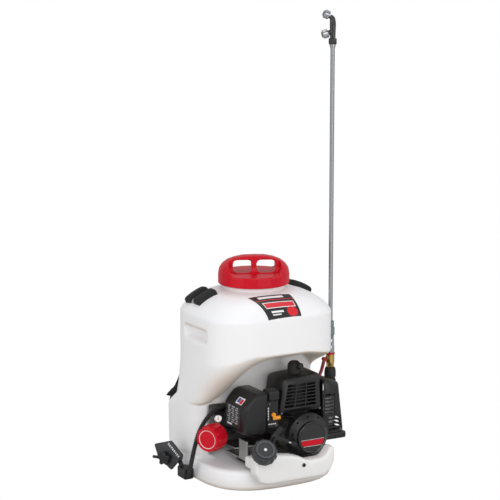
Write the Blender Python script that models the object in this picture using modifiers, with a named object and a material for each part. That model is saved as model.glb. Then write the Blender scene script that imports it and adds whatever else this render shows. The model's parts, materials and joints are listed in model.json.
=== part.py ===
"""Engine-driven backpack sprayer: a blow-moulded tank that carries a two-stroke engine, a pump and a spray lance.

Metres, +Z up, the engine side faces -Y, and the origin lies under the middle of the filler neck.
"""

import math

import bpy
import bmesh
from mathutils import Matrix, Vector

# Driving dimensions
GAP = 0.0004
TANK_WALL = 0.004
TANK_HALF_WIDTH = 0.1525
TANK_FRONT = -0.134
TANK_REAR = 0.118
LUMBAR_REAR = 0.158
BASE_FRONT = -0.155
SEAT_Z = 0.045
COLUMN_FRONT = -0.030
SHOULDER_Z = 0.352
CROWN_IN, CROWN_RISE = 0.072, 0.054
NECK_RADIUS = 0.066
NECK_TOP = 0.4345
CAP_RADIUS = 0.0775
CAP_TOP = 0.480
CRANK_X, CRANK_Z = 0.055, 0.104
CYLINDER_Y = -0.086
LANCE_X, LANCE_Y = 0.171, -0.040
LANCE_TOP = 0.960
PIPE_RADIUS = 0.0048
STRAP_X = 0.092
ANCHOR_LIFT = 0.0020
DIAL_Z = 0.1115
DIAL_AXIS = Vector((-0.86, -0.51, 0.0)).normalized()
DIAL_SEAT = Vector((-0.1288, -0.0698, DIAL_Z))

X, Y, Z = Vector((1, 0, 0)), Vector((0, 1, 0)), Vector((0, 0, 1))

for leftover in list(bpy.data.objects):
    bpy.data.objects.remove(leftover, do_unlink=True)

PARTS = bpy.data.collections.new("backpack_sprayer")
CUTTERS = bpy.data.collections.new("cutters")
bpy.context.scene.collection.children.link(PARTS)
bpy.context.scene.collection.children.link(CUTTERS)


def finish(name, colour, roughness, metallic=0.0):
    """Make one Principled material."""
    material = bpy.data.materials.new(name)
    material.use_nodes = True
    shader = material.node_tree.nodes["Principled BSDF"]
    shader.inputs["Base Color"].default_value = (*colour, 1.0)
    shader.inputs["Roughness"].default_value = roughness
    shader.inputs["Metallic"].default_value = metallic
    return material


WHITE = finish("white_polyethylene", (0.86, 0.86, 0.85), 0.45)
RED = finish("red_plastic", (0.62, 0.02, 0.035), 0.35)
BLACK = finish("black_plastic", (0.025, 0.025, 0.028), 0.5)
RUBBER = finish("black_rubber", (0.02, 0.02, 0.02), 0.8)
WEBBING = finish("black_webbing", (0.02, 0.02, 0.022), 0.9)
ALLOY = finish("die_cast_alloy", (0.55, 0.55, 0.54), 0.45, 1.0)
ZINC = finish("zinc_plated_steel", (0.55, 0.57, 0.56), 0.35, 1.0)
CHROME = finish("chrome", (0.8, 0.8, 0.82), 0.12, 1.0)
BRASS = finish("brass", (0.72, 0.5, 0.2), 0.3, 1.0)
ORANGE = finish("orange_plastic", (0.9, 0.4, 0.02), 0.4)
GREY = finish("grey_green_sleeve", (0.2, 0.28, 0.27), 0.55)
FOAM = finish("filter_foam", (0.12, 0.1, 0.06), 0.95)
IVORY = finish("ivory_plastic", (0.8, 0.8, 0.78), 0.4)


def keep(name, mesh, material, sharp=35):
    """Link a mesh as a named, smooth-shaded part."""
    obj = bpy.data.objects.new(name, mesh)
    PARTS.objects.link(obj)
    mesh.materials.append(material)
    mesh.shade_smooth()
    mesh.set_sharp_from_angle(angle=math.radians(sharp))
    return obj


def from_bmesh(name, bm, material):
    """Turn a bmesh into a part with outward faces."""
    bmesh.ops.recalc_face_normals(bm, faces=bm.faces)
    mesh = bpy.data.meshes.new(name)
    bm.to_mesh(mesh)
    bm.free()
    return keep(name, mesh, material)


def turn_to(axis):
    """Rotation that takes +Z onto the axis."""
    return Vector(axis).normalized().to_track_quat("Z", "Y").to_matrix().to_4x4()


def bevelled(bm, width, segments=2, edges=None):
    """Round the sharp edges of a bmesh."""
    chosen = edges or [e for e in bm.edges if e.calc_face_angle(0) > 0.6]
    bmesh.ops.bevel(bm, geom=chosen, offset=width, segments=segments, profile=0.5, affect="EDGES")


def box_bmesh(low, high, round_by=0.0, segments=2):
    """A box between two corners, with rounded edges."""
    bm = bmesh.new()
    size = Vector(high) - Vector(low)
    centre = (Vector(high) + Vector(low)) / 2
    place = Matrix.Translation(centre) @ Matrix.Diagonal((*size, 1))
    bmesh.ops.create_cube(bm, size=1, matrix=place)
    if round_by:
        bevelled(bm, round_by, segments)
    return bm


def box(name, low, high, material, round_by=0.0, segments=2):
    """A box part between two corners."""
    return from_bmesh(name, box_bmesh(low, high, round_by, segments), material)


def rod_bmesh(start, end, radius, sides=20, end_radius=None, round_by=0.0):
    """A cylinder or cone between two points."""
    start, end = Vector(start), Vector(end)
    axis = end - start
    bm = bmesh.new()
    place = Matrix.Translation((start + end) / 2) @ turn_to(axis)
    bmesh.ops.create_cone(bm, cap_ends=True, segments=sides, radius1=radius,
                          radius2=radius if end_radius is None else end_radius,
                          depth=axis.length, matrix=place)
    if round_by:
        rims = [e for e in bm.edges if e.calc_face_angle(0) > 1.0]
        bevelled(bm, round_by, 2, rims)
    return bm


def rod(name, start, end, radius, material, sides=20, end_radius=None, round_by=0.0):
    """A round part between two points."""
    return from_bmesh(name, rod_bmesh(start, end, radius, sides, end_radius, round_by), material)


def turned(name, profile, origin, axis, material, steps=24):
    """A turned part: (radius, height) pairs from the top down, spun with a Screw modifier about the axis."""
    mesh = bpy.data.meshes.new(name)
    points = [(radius, 0.0, height) for radius, height in profile]
    edges = [(i, i + 1) for i in range(len(points) - 1) if profile[i][0] + profile[i + 1][0] > 0]
    closed = profile[0][0] > 0 or profile[-1][0] > 0
    if closed:
        edges.append((len(points) - 1, 0))
    mesh.from_pydata(points, edges, [])
    obj = keep(name, mesh, material)
    screw = obj.modifiers.new("Screw", "SCREW")
    screw.axis = "Z"
    screw.steps = steps
    screw.render_steps = steps
    screw.use_merge_vertices = True
    screw.merge_threshold = 0.00005
    screw.use_smooth_shade = True
    obj.matrix_world = Matrix.Translation(origin) @ turn_to(axis)
    return obj


def baked(obj):
    """Replace an object by a plain mesh of what it evaluates to, with welded seams."""
    bpy.context.view_layer.update()
    graph = bpy.context.evaluated_depsgraph_get()
    mesh = bpy.data.meshes.new_from_object(obj.evaluated_get(graph), depsgraph=graph)
    bm = bmesh.new()
    bm.from_mesh(mesh)
    bmesh.ops.remove_doubles(bm, verts=bm.verts, dist=0.00002)
    bm.transform(obj.matrix_world)
    bmesh.ops.recalc_face_normals(bm, faces=bm.faces)
    bm.to_mesh(mesh)
    bm.free()
    name, material = obj.name, obj.data.materials[0]
    bpy.data.objects.remove(obj, do_unlink=True)
    mesh.materials.clear()
    return keep(name, mesh, material)


def carve(obj, cutter, operation="DIFFERENCE"):
    """Cut a helper out of a part, or join it on, and hide the helper."""
    PARTS.objects.unlink(cutter)
    CUTTERS.objects.link(cutter)
    cutter.hide_render = True
    cutter.display_type = "WIRE"
    change = obj.modifiers.new(cutter.name, "BOOLEAN")
    change.object = cutter
    change.operation = operation
    return obj


def fuse(name, bms, material):
    """Join overlapping shapes into one solid."""
    first = from_bmesh(name, bms[0], material)
    for number, bm in enumerate(bms[1:]):
        carve(first, from_bmesh(f"{name}_piece_{number}", bm, material), "UNION")
    return first


def cut(obj, *bms):
    """Cut several shapes out of a part."""
    for number, bm in enumerate(bms):
        carve(obj, from_bmesh(f"{obj.name}_cutter_{len(obj.modifiers) + number}", bm, BLACK))
    return obj


def group(name, bms, material):
    """Separate solids that share one node."""
    whole = bmesh.new()
    for bm in bms:
        mesh = bpy.data.meshes.new("member")
        bmesh.ops.recalc_face_normals(bm, faces=bm.faces)
        bm.to_mesh(mesh)
        bm.free()
        whole.from_mesh(mesh)
        bpy.data.meshes.remove(mesh)
    mesh = bpy.data.meshes.new(name)
    whole.to_mesh(mesh)
    whole.free()
    return keep(name, mesh, material)


def tube(name, points, radius, material, resolution=2):
    """A round cord or pipe along points."""
    curve = bpy.data.curves.new(name, "CURVE")
    curve.dimensions = "3D"
    curve.bevel_depth = radius
    curve.bevel_resolution = resolution
    curve.use_fill_caps = True
    spline = curve.splines.new("POLY")
    spline.points.add(len(points) - 1)
    for slot, point in zip(spline.points, points):
        slot.co = (*point, 1.0)
    curve.materials.append(material)
    obj = bpy.data.objects.new(name, curve)
    PARTS.objects.link(obj)
    return obj


def smooth_route(stops, count):
    """Points on a Catmull-Rom curve through the stops."""
    stops = [Vector(s) for s in stops]
    padded = [2 * stops[0] - stops[1], *stops, 2 * stops[-1] - stops[-2]]
    route = []
    for n in range(count):
        u = n / (count - 1) * (len(stops) - 1)
        i = min(int(u), len(stops) - 2)
        t = u - i
        a, b, c, d = padded[i:i + 4]
        route.append(0.5 * (2 * b + (c - a) * t + (2 * a - 5 * b + 4 * c - d) * t * t
                            + (3 * b - a - 3 * c + d) * t ** 3))
    return route


def ease(value, start, end):
    """Smooth step from 0 at start to 1 at end."""
    t = min(1.0, max(0.0, (value - start) / (end - start)))
    return t * t * (3 - 2 * t)


def plateau(value, start, end, soft):
    """1 between start and end, easing to 0 over the soft margin outside."""
    return ease(value, start - soft, start) * (1 - ease(value, end, end + soft))


# Tank


def tank_front(x, z, level_front):
    """Front of the tank at a height: the column below, the sloping chin, and the full front above."""
    chin = 0.165 + 0.086 * ease(x, -0.150, 0.0) * (1 - 0.2 * ease(x, 0.102, 0.150))
    share = ease(z, chin, chin + 0.085)
    pump_bay = 0.085 * plateau(x, -0.088, 0.110, 0.022) * plateau(z, 0.066, 0.148, 0.016)
    return level_front + (TANK_FRONT - COLUMN_FRONT) * share + pump_bay


def hand_pocket(y, z):
    """Depth of the lifting pocket moulded into each side."""
    return 0.016 * plateau(y, -0.062, 0.030, 0.012) * plateau(z, 0.316, 0.334, 0.010)


def tank_ring(level, inset, sides):
    """One ring of the skin. A level is height, half width, front, rear, squareness and whether the chin rule holds."""
    z, half, front, rear, square, has_chin = level
    ring = []
    for n in range(sides):
        angle = 2 * math.pi * n / sides
        c, s = math.cos(angle), math.sin(angle)
        x = half * math.copysign(abs(c) ** (2 / square), c)
        near = tank_front(x, z, front) if has_chin else front
        y = (near + rear) / 2 + (rear - near) / 2 * math.copysign(abs(s) ** (2 / square), s)
        if has_chin:
            x -= math.copysign(hand_pocket(y, z), x) * ease(abs(x), 0.09, 0.13)
        ring.append(Vector((x, y, z)))
    middle = sum(ring, Vector()) / sides
    if inset:
        ring = [shrink(p, middle, inset) for p in ring]
    return ring


def shrink(point, middle, inset):
    """Move a ring point towards the middle of its ring by the wall thickness."""
    inward = Vector((middle.x - point.x, middle.y - point.y, 0))
    return point + inward.normalized() * inset * 1.15


def tank_levels():
    """Rings from the foot to the neck."""
    wide, low = TANK_HALF_WIDTH, LUMBAR_REAR
    levels = [
        (0.0, wide - 0.010, BASE_FRONT + 0.010, low - 0.010, 2.9, False),
        (0.004, wide - 0.003, BASE_FRONT + 0.003, low - 0.003, 2.9, False),
        (0.012, wide, BASE_FRONT, low, 2.9, False),
        (0.036, wide, BASE_FRONT, low, 2.9, False),
        (0.043, wide - 0.003, BASE_FRONT + 0.006, low, 2.9, False),
        (SEAT_Z, wide - 0.004, BASE_FRONT + 0.016, low, 2.9, False),
        (SEAT_Z + 0.001, wide - 0.004, COLUMN_FRONT - 0.022, low, 3.0, False),
        (0.050, wide - 0.003, COLUMN_FRONT - 0.008, low, 3.2, False),
    ]
    for z in (0.060, 0.070, 0.090, 0.120, 0.145):
        levels.append((z, wide - 0.002, COLUMN_FRONT, low, 3.4, True))
    for z in (0.158, 0.172, 0.186, 0.200, 0.220, 0.240, 0.260, 0.280, 0.300, 0.311, 0.320, 0.330, 0.340, SHOULDER_Z):
        rear = low + (TANK_REAR - low) * ease(z, 0.150, 0.195)
        levels.append((z, wide, COLUMN_FRONT, rear, 3.4, True))
    for n in range(1, 7):
        angle = math.radians(15 * n)
        pull, z = CROWN_IN * (1 - math.cos(angle)), SHOULDER_Z + CROWN_RISE * math.sin(angle) ** 0.9
        square = 3.4 - 1.2 * n / 6
        levels.append((z, wide - pull, TANK_FRONT + pull * 0.8, TANK_REAR - pull * 0.6, square, False))
    for z, radius in ((0.4085, NECK_RADIUS + 0.004), (0.4115, NECK_RADIUS), (NECK_TOP, NECK_RADIUS)):
        levels.append((z, radius, -radius, radius, 2.0, False))
    return levels


def build_tank():
    """The tank: one skin up the outside, over the neck's rim and down the inside."""
    sides = 40
    outer = tank_levels()
    skipped = (0.004, 0.012, 0.043, 0.070, 0.120, 0.158, 0.172, 0.200, 0.240, 0.280, 0.311, 0.330, 0.340)
    inner = [level for level in outer[::-1] if level[0] not in skipped]
    rings = [tank_ring(level, 0.0, sides) for level in outer]
    for z, *rest in inner:
        roof = TANK_WALL if SHOULDER_Z < z < NECK_TOP else 0.0
        floor = TANK_WALL if z < 0.002 else 0.0
        seat = -TANK_WALL if SEAT_Z - 0.001 < z < 0.051 else 0.0
        ring = tank_ring((z, *rest), TANK_WALL, sides)
        for point in ring:
            point.z += floor + seat - roof
        rings.append(ring)
    bm = bmesh.new()
    loops = [[bm.verts.new(p) for p in ring] for ring in rings]
    for low, high in zip(loops, loops[1:]):
        for n in range(sides):
            m = (n + 1) % sides
            bm.faces.new((low[n], low[m], high[m], high[n]))
    for loop in (loops[0], loops[-1]):
        hub = bm.verts.new(sum((v.co for v in loop), Vector()) / sides)
        for n in range(sides):
            bm.faces.new((loop[n], loop[(n + 1) % sides], hub))
    return from_bmesh("tank", bm, WHITE)


def build_filler():
    """Screw cap with its bridge handle, the seal under it and the strainer in the neck."""
    skirt_low, skirt_top = 0.4185, 0.4395
    inner = NECK_RADIUS + 0.0015
    under = NECK_TOP + 0.0035
    dome = [(0.0, CAP_TOP)]
    for n in range(1, 7):
        angle = math.radians(90 * n / 6)
        dome.append((CAP_RADIUS * math.sin(angle) ** 0.8, skirt_top + (CAP_TOP - skirt_top) * math.cos(angle) ** 0.9))
    profile = dome + [(CAP_RADIUS, skirt_low + 0.002), (CAP_RADIUS - 0.002, skirt_low), (inner, skirt_low),
                      (inner, under), (0.0, under)]
    cap = baked(turned("tank_cap", profile, (0, 0, 0), Z, RED, 32))
    view_turn = Matrix.Rotation(math.radians(-24), 4, "Z")
    scoops = []
    for side in (-1, 1):
        scoop = box_bmesh((-0.056, -0.05, skirt_top + 0.0025), (0.056, 0.05, 0.6), 0.012, 2)
        scoop.transform(view_turn @ Matrix.Translation((0, side * 0.064, 0)))
        scoops.append(scoop)
    for side in (-1, 1):
        low, high = sorted((side * 0.005, side * 0.046))
        window = box_bmesh((low, -0.05, skirt_top + 0.0045), (high, 0.05, CAP_TOP - 0.0095), 0.008, 2)
        window.transform(view_turn)
        scoops.append(window)
    cut(cap, *scoops)
    seal = [(NECK_RADIUS - 0.001, under - GAP), (NECK_RADIUS - 0.001, NECK_TOP + GAP), (NECK_RADIUS - 0.0065, NECK_TOP + GAP),
            (NECK_RADIUS - 0.0065, under - GAP)]
    turned("cap_seal", seal, (0, 0, 0), Z, RUBBER, 24)
    rim, depth, wall = NECK_RADIUS - 0.0068, 0.36, 0.002
    basket = [(rim, under - GAP), (rim, NECK_TOP - 0.006), (rim - 0.003, NECK_TOP - 0.008), (rim - 0.006, depth), (0.0, depth),
              (0.0, depth + wall), (rim - 0.006 - wall, depth + wall), (rim - 0.003 - wall, NECK_TOP - 0.008),
              (rim - 0.003 - wall, under - GAP)]
    turned("filler_strainer", basket, (0, 0, 0), Z, BLACK, 24)


# Engine


def build_mounting():
    """Engine plate on its two rubber buffers."""
    for x, word in ((-0.065, "left"), (0.105, "right")):
        low, high = (x - 0.009, -0.122, SEAT_Z + 0.0014), (x + 0.009, -0.056, 0.0606)
        box(f"rubber_mount_{word}", low, high, RUBBER, 0.003, 1)
    plate = box("engine_plate", (-0.086, -0.1245, 0.061), (0.126, -0.034, 0.064), ZINC)
    tab = box("engine_plate_tab", (-0.086, -0.1245, 0.0625), (-0.083, -0.090, 0.105), ZINC)
    carve(plate, tab, "UNION")


def build_block():
    """Crankcase, finned cylinder, plug and the rotating crank with its fan wheel and clutch."""
    bore = 0.0088
    case = [(0.033, 0.040), (0.033, -0.038), (bore, -0.038), (bore, 0.040)]
    crankcase = baked(turned("crankcase", case, (CRANK_X, CYLINDER_Y, CRANK_Z), -Y, ALLOY, 20))
    foot = from_bmesh("crankcase_foot", box_bmesh((0.028, -0.116, 0.0645), (0.082, -0.058, 0.085), 0.003), ALLOY)
    carve(crankcase, foot, "UNION")
    fins, core, low, pitch = 7, 0.024, 0.1385, 0.0105
    rim = 0.032
    profile = [(0.0, low + fins * pitch + 0.006), (0.018, low + fins * pitch + 0.006), (core, low + fins * pitch)]
    for n in reversed(range(fins)):
        top = low + n * pitch + 0.0032
        profile += [(core, top), (rim, top), (rim, top - 0.0026), (core, top - 0.0026)]
    profile += [(core, low - 0.0006), (0.0, low - 0.0006)]
    turned("cylinder", profile, (CRANK_X - 0.003, CYLINDER_Y, 0), Z, ALLOY, 14)
    plug_low = low + fins * pitch + 0.006 + GAP
    plug = [(0.0, plug_low + 0.022), (0.003, plug_low + 0.022), (0.004, plug_low + 0.010), (0.0085, plug_low + 0.009),
            (0.0085, plug_low), (0.0, plug_low)]
    turned("spark_plug", plug, (CRANK_X - 0.003, CYLINDER_Y, 0), Z, CHROME, 12)
    shaft_front, shaft_back = -0.1392, -0.024
    shaft = [(0.0, -shaft_front), (0.0075, -shaft_front), (0.0085, 0.126), (0.0085, -shaft_back), (0.0, -shaft_back)]
    turned("crankshaft", shaft, (CRANK_X, 0, CRANK_Z), -Y, CHROME, 16)
    hub_bore = 0.0085 + GAP
    wheel = rod_bmesh((CRANK_X, -0.1275, CRANK_Z), (CRANK_X, -0.1315, CRANK_Z), 0.042, 28)
    blades = []
    for n in range(12):
        blade = box_bmesh((0.024, -0.1385, -0.0012), (0.041, -0.1310, 0.0012))
        turn = Matrix.Rotation(math.radians(30 * n), 4, "Y")
        blade.transform(Matrix.Translation((CRANK_X, 0, CRANK_Z)) @ turn)
        blades.append(blade)
    flywheel = fuse("flywheel_fan", [wheel, *blades], ALLOY)
    cut(flywheel, rod_bmesh((CRANK_X, -0.15, CRANK_Z), (CRANK_X, -0.1, CRANK_Z), hub_bore, 16))
    drum = [(0.026, 0.046), (0.026, 0.0275), (hub_bore, 0.0275), (hub_bore, 0.046)]
    turned("clutch", drum, (CRANK_X, 0, CRANK_Z), -Y, ZINC, 24)


def build_cowl():
    """Cylinder cowl: a shell open below and behind, with the grille of three columns of slots in its sloped front."""
    low, high = Vector((-0.008, -0.1255, 0.150)), Vector((0.100, -0.048, 0.2455))
    wall = 0.0028
    shell = box_bmesh(low, high, 0.012, 2)
    bmesh.ops.translate(shell, verts=[v for v in shell.verts if v.co.z > 0.2], vec=(0, 0.004, 0))
    left_top = [v for v in shell.verts if v.co.z > 0.2 and v.co.x < 0.04]
    bmesh.ops.translate(shell, verts=left_top, vec=(0.012, 0, -0.004))
    cowl = from_bmesh("engine_cowl", shell, BLACK)
    hollow = box_bmesh(low + Vector((wall, wall, -0.02)), high - Vector((wall, -0.02, wall)), 0.010, 2)
    bmesh.ops.translate(hollow, verts=[v for v in hollow.verts if v.co.z > 0.2], vec=(0, 0.004, 0))
    inner_left = [v for v in hollow.verts if v.co.z > 0.2 and v.co.x < 0.04]
    bmesh.ops.translate(hollow, verts=inner_left, vec=(0.012, 0, -0.004))
    cutters = [hollow]
    for row in range(7):
        z = 0.166 + row * 0.0088
        start = 0.006 + row * 0.0016
        pitch = (0.086 - start) / 3
        for column in range(3):
            x = start + column * pitch
            cutters.append(box_bmesh((x, -0.14, z), (x + pitch - 0.0026, -0.105, z + 0.0062)))
    slots = group("grille_slots", cutters[1:], BLACK)
    cut(cowl, cutters[0])
    carve(cowl, slots)
    carve(cowl, from_bmesh("intake_hole", rod_bmesh((-0.03, CYLINDER_Y, 0.158), (0.02, CYLINDER_Y, 0.158), 0.0135, 16), BLACK))
    cut(cowl, rod_bmesh((CRANK_X - 0.003, CYLINDER_Y, 0.23), (CRANK_X - 0.003, CYLINDER_Y, 0.27), 0.0165, 18))
    boot_x = CRANK_X - 0.003
    hood = [(0.0, 0.2685), (0.009, 0.2685), (0.0145, 0.262), (0.0155, 0.2335), (0.0105, 0.2335), (0.0105, 0.2575),
            (0.0, 0.2575)]
    boot = baked(turned("plug_boot", hood, (boot_x, CYLINDER_Y, 0), Z, RUBBER, 16))
    lead = rod_bmesh((boot_x, CYLINDER_Y + 0.004, 0.255), (boot_x + 0.004, CYLINDER_Y - 0.024, 0.262), 0.0075, 14, 0.0065)
    carve(boot, from_bmesh("plug_lead_elbow", lead, RUBBER), "UNION")


def build_muffler():
    """Muffler box and the louvred guard round it."""
    low, high = Vector((0.1035, -0.122, 0.092)), Vector((0.158, -0.052, 0.232))
    wall = 0.0028
    shell = box_bmesh(low, high, 0.009, 2)
    top_right = [v for v in shell.verts if v.co.z > 0.18 and v.co.x > 0.13]
    bmesh.ops.translate(shell, verts=top_right, vec=(-0.012, 0, -0.006))
    guard = from_bmesh("muffler_guard", shell, BLACK)
    hollow = box_bmesh(low + Vector((-0.02, wall, wall)), high - Vector((wall, -0.02, wall)), 0.007, 2)
    hollow_right = [v for v in hollow.verts if v.co.z > 0.18 and v.co.x > 0.13]
    bmesh.ops.translate(hollow, verts=hollow_right, vec=(-0.012, 0, -0.006))
    cut(guard, hollow)
    slots = []
    for row in range(6):
        z = 0.140 + row * 0.0102
        slots.append(box_bmesh((0.110, -0.14, z), (0.134, -0.112, z + 0.0058)))
        slots.append(box_bmesh((0.136, -0.108, z), (0.17, -0.062, z + 0.0058)))
    for row in range(4):
        z = 0.100 + row * 0.0088
        slots.append(box_bmesh((0.136, -0.112, z), (0.17, -0.058, z + 0.0052)))
        slots.append(box_bmesh((0.118, -0.14, z), (0.150, -0.112, z + 0.0052)))
    carve(guard, group("guard_slots", slots, BLACK))
    box("muffler", (0.104, -0.112, 0.104), (0.140, -0.062, 0.190), ZINC, 0.006, 1)
    foot = box_bmesh((0.112, -0.118, 0.078), (0.166, -0.058, 0.0935), 0.004)
    carve(guard, from_bmesh("guard_foot", foot, BLACK), "UNION")


def build_starter():
    """Fan housing with its round cover, the pulley inside, and the rope grip."""
    front, back = 0.1515, 0.1262
    outer, wall = 0.0490, 0.003
    cup = [(0.0, front), (0.037, front), (0.041, front - 0.003), (outer, front - 0.010), (outer, back), (outer - wall, back),
           (outer - wall, front - 0.0115), (0.0, front - 0.0115)]
    housing = baked(turned("starter_housing", cup, (CRANK_X, 0, CRANK_Z), -Y, BLACK, 28))
    slots = []
    for n in range(10):
        slot = box_bmesh((0.0405, -0.1475, -0.0022), (0.0445, -0.136, 0.0022))
        turn = Matrix.Rotation(math.radians(36 * n + 12), 4, "Y")
        slot.transform(Matrix.Translation((CRANK_X, 0, CRANK_Z)) @ turn)
        slots.append(slot)
    carve(housing, group("fan_slots", slots, BLACK))
    face = front + GAP
    badge = [(0.0, face + 0.008), (0.0325, face + 0.008), (0.0345, face + 0.006), (0.0345, face), (0.0, face)]
    turned("starter_cover", badge, (CRANK_X, 0, CRANK_Z), -Y, BLACK, 28)


def build_recoil():
    """Rope guide, rope and T grip that pulls out along the rope."""
    pull = Vector((-0.875, -0.19, 0.445)).normalized()
    root = Vector((CRANK_X - 0.0425, -0.1575, CRANK_Z - 0.010))
    side = Vector((0.30, -0.25, 0.92))
    side = (side - pull * side.dot(pull)).normalized()
    guide = from_bmesh("rope_guide", rod_bmesh(root, root + pull * 0.014, 0.0065, 14, 0.0055), BLACK)
    cut(guide, rod_bmesh(root - pull * 0.01, root + pull * 0.05, 0.0028, 12))
    rod("starter_rope", root + pull * 0.002, root + pull * 0.0215, 0.0019, IVORY, 10)
    bar = root + pull * 0.066
    stem = rod_bmesh(root + pull * 0.0220, bar, 0.0048, 14, 0.0066)
    arms = [rod_bmesh(bar - side * 0.004, bar + side * 0.025 - pull * 0.004, 0.0076, 14, 0.0060, 0.002),
            rod_bmesh(bar + side * 0.004, bar - side * 0.019 - pull * 0.004, 0.0076, 14, 0.0060, 0.002)]
    fuse("starter_grip", [stem, *arms], BLACK)


def build_intake():
    """Carburettor, air cleaner box with its foam, cover, cover knob and choke lever."""
    insulator = rod("intake_spacer", (0.0195, CYLINDER_Y, 0.158), (-0.009, CYLINDER_Y, 0.158), 0.012, BLACK, 16)
    carburettor = fuse("carburettor", [box_bmesh((-0.040, -0.106, 0.140), (-0.0094, -0.066, 0.176), 0.004),
                                       rod_bmesh((-0.025, -0.086, 0.130), (-0.025, -0.086, 0.1405), 0.013, 16),
                                       rod_bmesh((-0.025, -0.11, 0.158), (-0.025, -0.06, 0.158), 0.006, 12)], ALLOY)
    plate = box("air_cleaner_base", (-0.0445, -0.134, 0.132), (-0.0404, -0.053, 0.208), BLACK, 0.0015, 1)
    low, high = Vector((-0.110, -0.142, 0.1262)), Vector((-0.0449, -0.047, 0.2150))
    wall = 0.0026
    shell = box_bmesh(low, high, 0.011, 2)
    slope = [v for v in shell.verts if v.co.z > 0.18 and v.co.x < -0.08]
    bmesh.ops.translate(shell, verts=slope, vec=(0.010, 0, -0.012))
    cover = from_bmesh("air_cleaner_cover", shell, BLACK)
    hollow = box_bmesh(low + Vector((wall, wall, wall)), high - Vector((-0.02, wall, wall)), 0.009, 2)
    inner_slope = [v for v in hollow.verts if v.co.z > 0.18 and v.co.x < -0.08]
    bmesh.ops.translate(hollow, verts=inner_slope, vec=(0.010, 0, -0.012))
    cut(cover, hollow)
    box("filter_foam", (-0.084, -0.130, 0.138), (-0.0456, -0.058, 0.188), FOAM, 0.004, 1)
    panel = fuse("control_panel", [box_bmesh((-0.0395, -0.1380, 0.1885), (-0.0125, -0.106, 0.2120), 0.005),
                                   box_bmesh((-0.0395, -0.131, 0.128), (-0.0125, -0.1275, 0.1920), 0.001, 1)], BLACK)
    pivot = Vector((-0.026, -0.1312, 0.158))
    lever = fuse("choke_lever", [rod_bmesh(pivot, pivot - Y * 0.004, 0.005, 16),
                                 box_bmesh((-0.029, -0.1372, 0.1475), (-0.010, -0.1342, 0.1555), 0.0012, 1),
                                 box_bmesh((-0.029, -0.1372, 0.1500), (-0.022, -0.1342, 0.160), 0.0012, 1)], ORANGE)
    return insulator, carburettor, plate, panel, lever


def build_fuel():
    """Fuel tank that wraps under the starter, with its slanted filler and ribbed cap."""
    outline = [(-0.098, 0.084), (-0.098, 0.050), (-0.088, 0.030), (-0.070, 0.0235), (0.090, 0.0235), (0.110, 0.034), (0.121, 0.055),
               (0.121, 0.086), (0.108, 0.086), (0.098, 0.074), (0.080, 0.0645), (0.030, 0.0645), (0.010, 0.074), (-0.010, 0.080),
               (-0.045, 0.086)]
    bm = bmesh.new()
    face = bm.faces.new([bm.verts.new((x, -0.1570, z)) for x, z in outline])
    grown = bmesh.ops.extrude_face_region(bm, geom=[face])
    bmesh.ops.translate(bm, verts=[v for v in grown["geom"] if isinstance(v, bmesh.types.BMVert)], vec=(0, -0.031, 0))
    bmesh.ops.recalc_face_normals(bm, faces=bm.faces)
    rims = [e for e in bm.edges if abs(e.verts[0].co.y - e.verts[1].co.y) < 1e-6]
    bmesh.ops.bevel(bm, geom=rims, offset=0.005, segments=2, profile=0.5, affect="EDGES")
    tank = from_bmesh("fuel_tank", bm, WHITE)
    carve(tank, from_bmesh("fuel_lug", box_bmesh((-0.0925, -0.1705, 0.0515), (-0.0225, -0.1250, 0.0765), 0.002, 1), WHITE), "UNION")
    axis = Vector((-0.20, -0.72, 0.66)).normalized()
    seat = Vector((-0.0755, -0.1705, 0.0790))
    carve(tank, from_bmesh("fuel_neck", rod_bmesh(seat - axis * 0.007, seat + axis * 0.0210, 0.0185, 18), WHITE), "UNION")
    cap_low = seat + axis * 0.0214
    body = rod_bmesh(cap_low, cap_low + axis * 0.020, 0.0262, 24, 0.0245)
    step = rod_bmesh(cap_low + axis * 0.018, cap_low + axis * 0.0225, 0.0165, 24, 0.0155)
    ribs = []
    spin = turn_to(axis)
    for n in range(12):
        rib = box_bmesh((0.0235, -0.0018, 0.0015), (0.0275, 0.0018, 0.0165))
        rib.transform(Matrix.Translation(cap_low) @ spin @ Matrix.Rotation(2 * math.pi * n / 12, 4, "Z"))
        ribs.append(rib)
    fuse("fuel_cap", [body, step, *ribs], BLACK)


# Pump


def build_pump():
    """Gearcase behind the clutch, pump body, pressure dial, pressure gauge and brass outlet."""
    profile = [(0.0, 0.0180), (0.0340, 0.0180), (0.0340, -0.030), (0.0, -0.030)]
    gearcase = baked(turned("gearcase", profile, (CRANK_X, 0, CRANK_Z), -Y, ALLOY, 24))
    body = fuse("pump_body", [box_bmesh((-0.080, -0.026, 0.080), (0.0200, 0.034, 0.142), 0.006),
                              rod_bmesh((-0.030, -0.020, 0.112), (-0.030, -0.044, 0.112), 0.017, 18),
                              rod_bmesh((-0.012, 0.004, 0.140), (-0.012, 0.004, 0.150), 0.016, 18),
                              rod_bmesh(DIAL_SEAT - DIAL_AXIS * 0.075, DIAL_SEAT - DIAL_AXIS * GAP, 0.0120, 18)], BLACK)
    box("pump_bracket", (-0.070, -0.044, 0.0644), (0.070, 0.028, 0.0690), ZINC, 0.001, 1)
    outlet = Vector((0.0894, -0.012, 0.098))
    fuse("outlet_fitting", [rod_bmesh(outlet, outlet + X * 0.014, 0.0078, 6),
                            rod_bmesh(outlet + X * 0.008, outlet + X * 0.008 - Y * 0.034, 0.0052, 16)], BRASS)
    return gearcase, body


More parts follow.
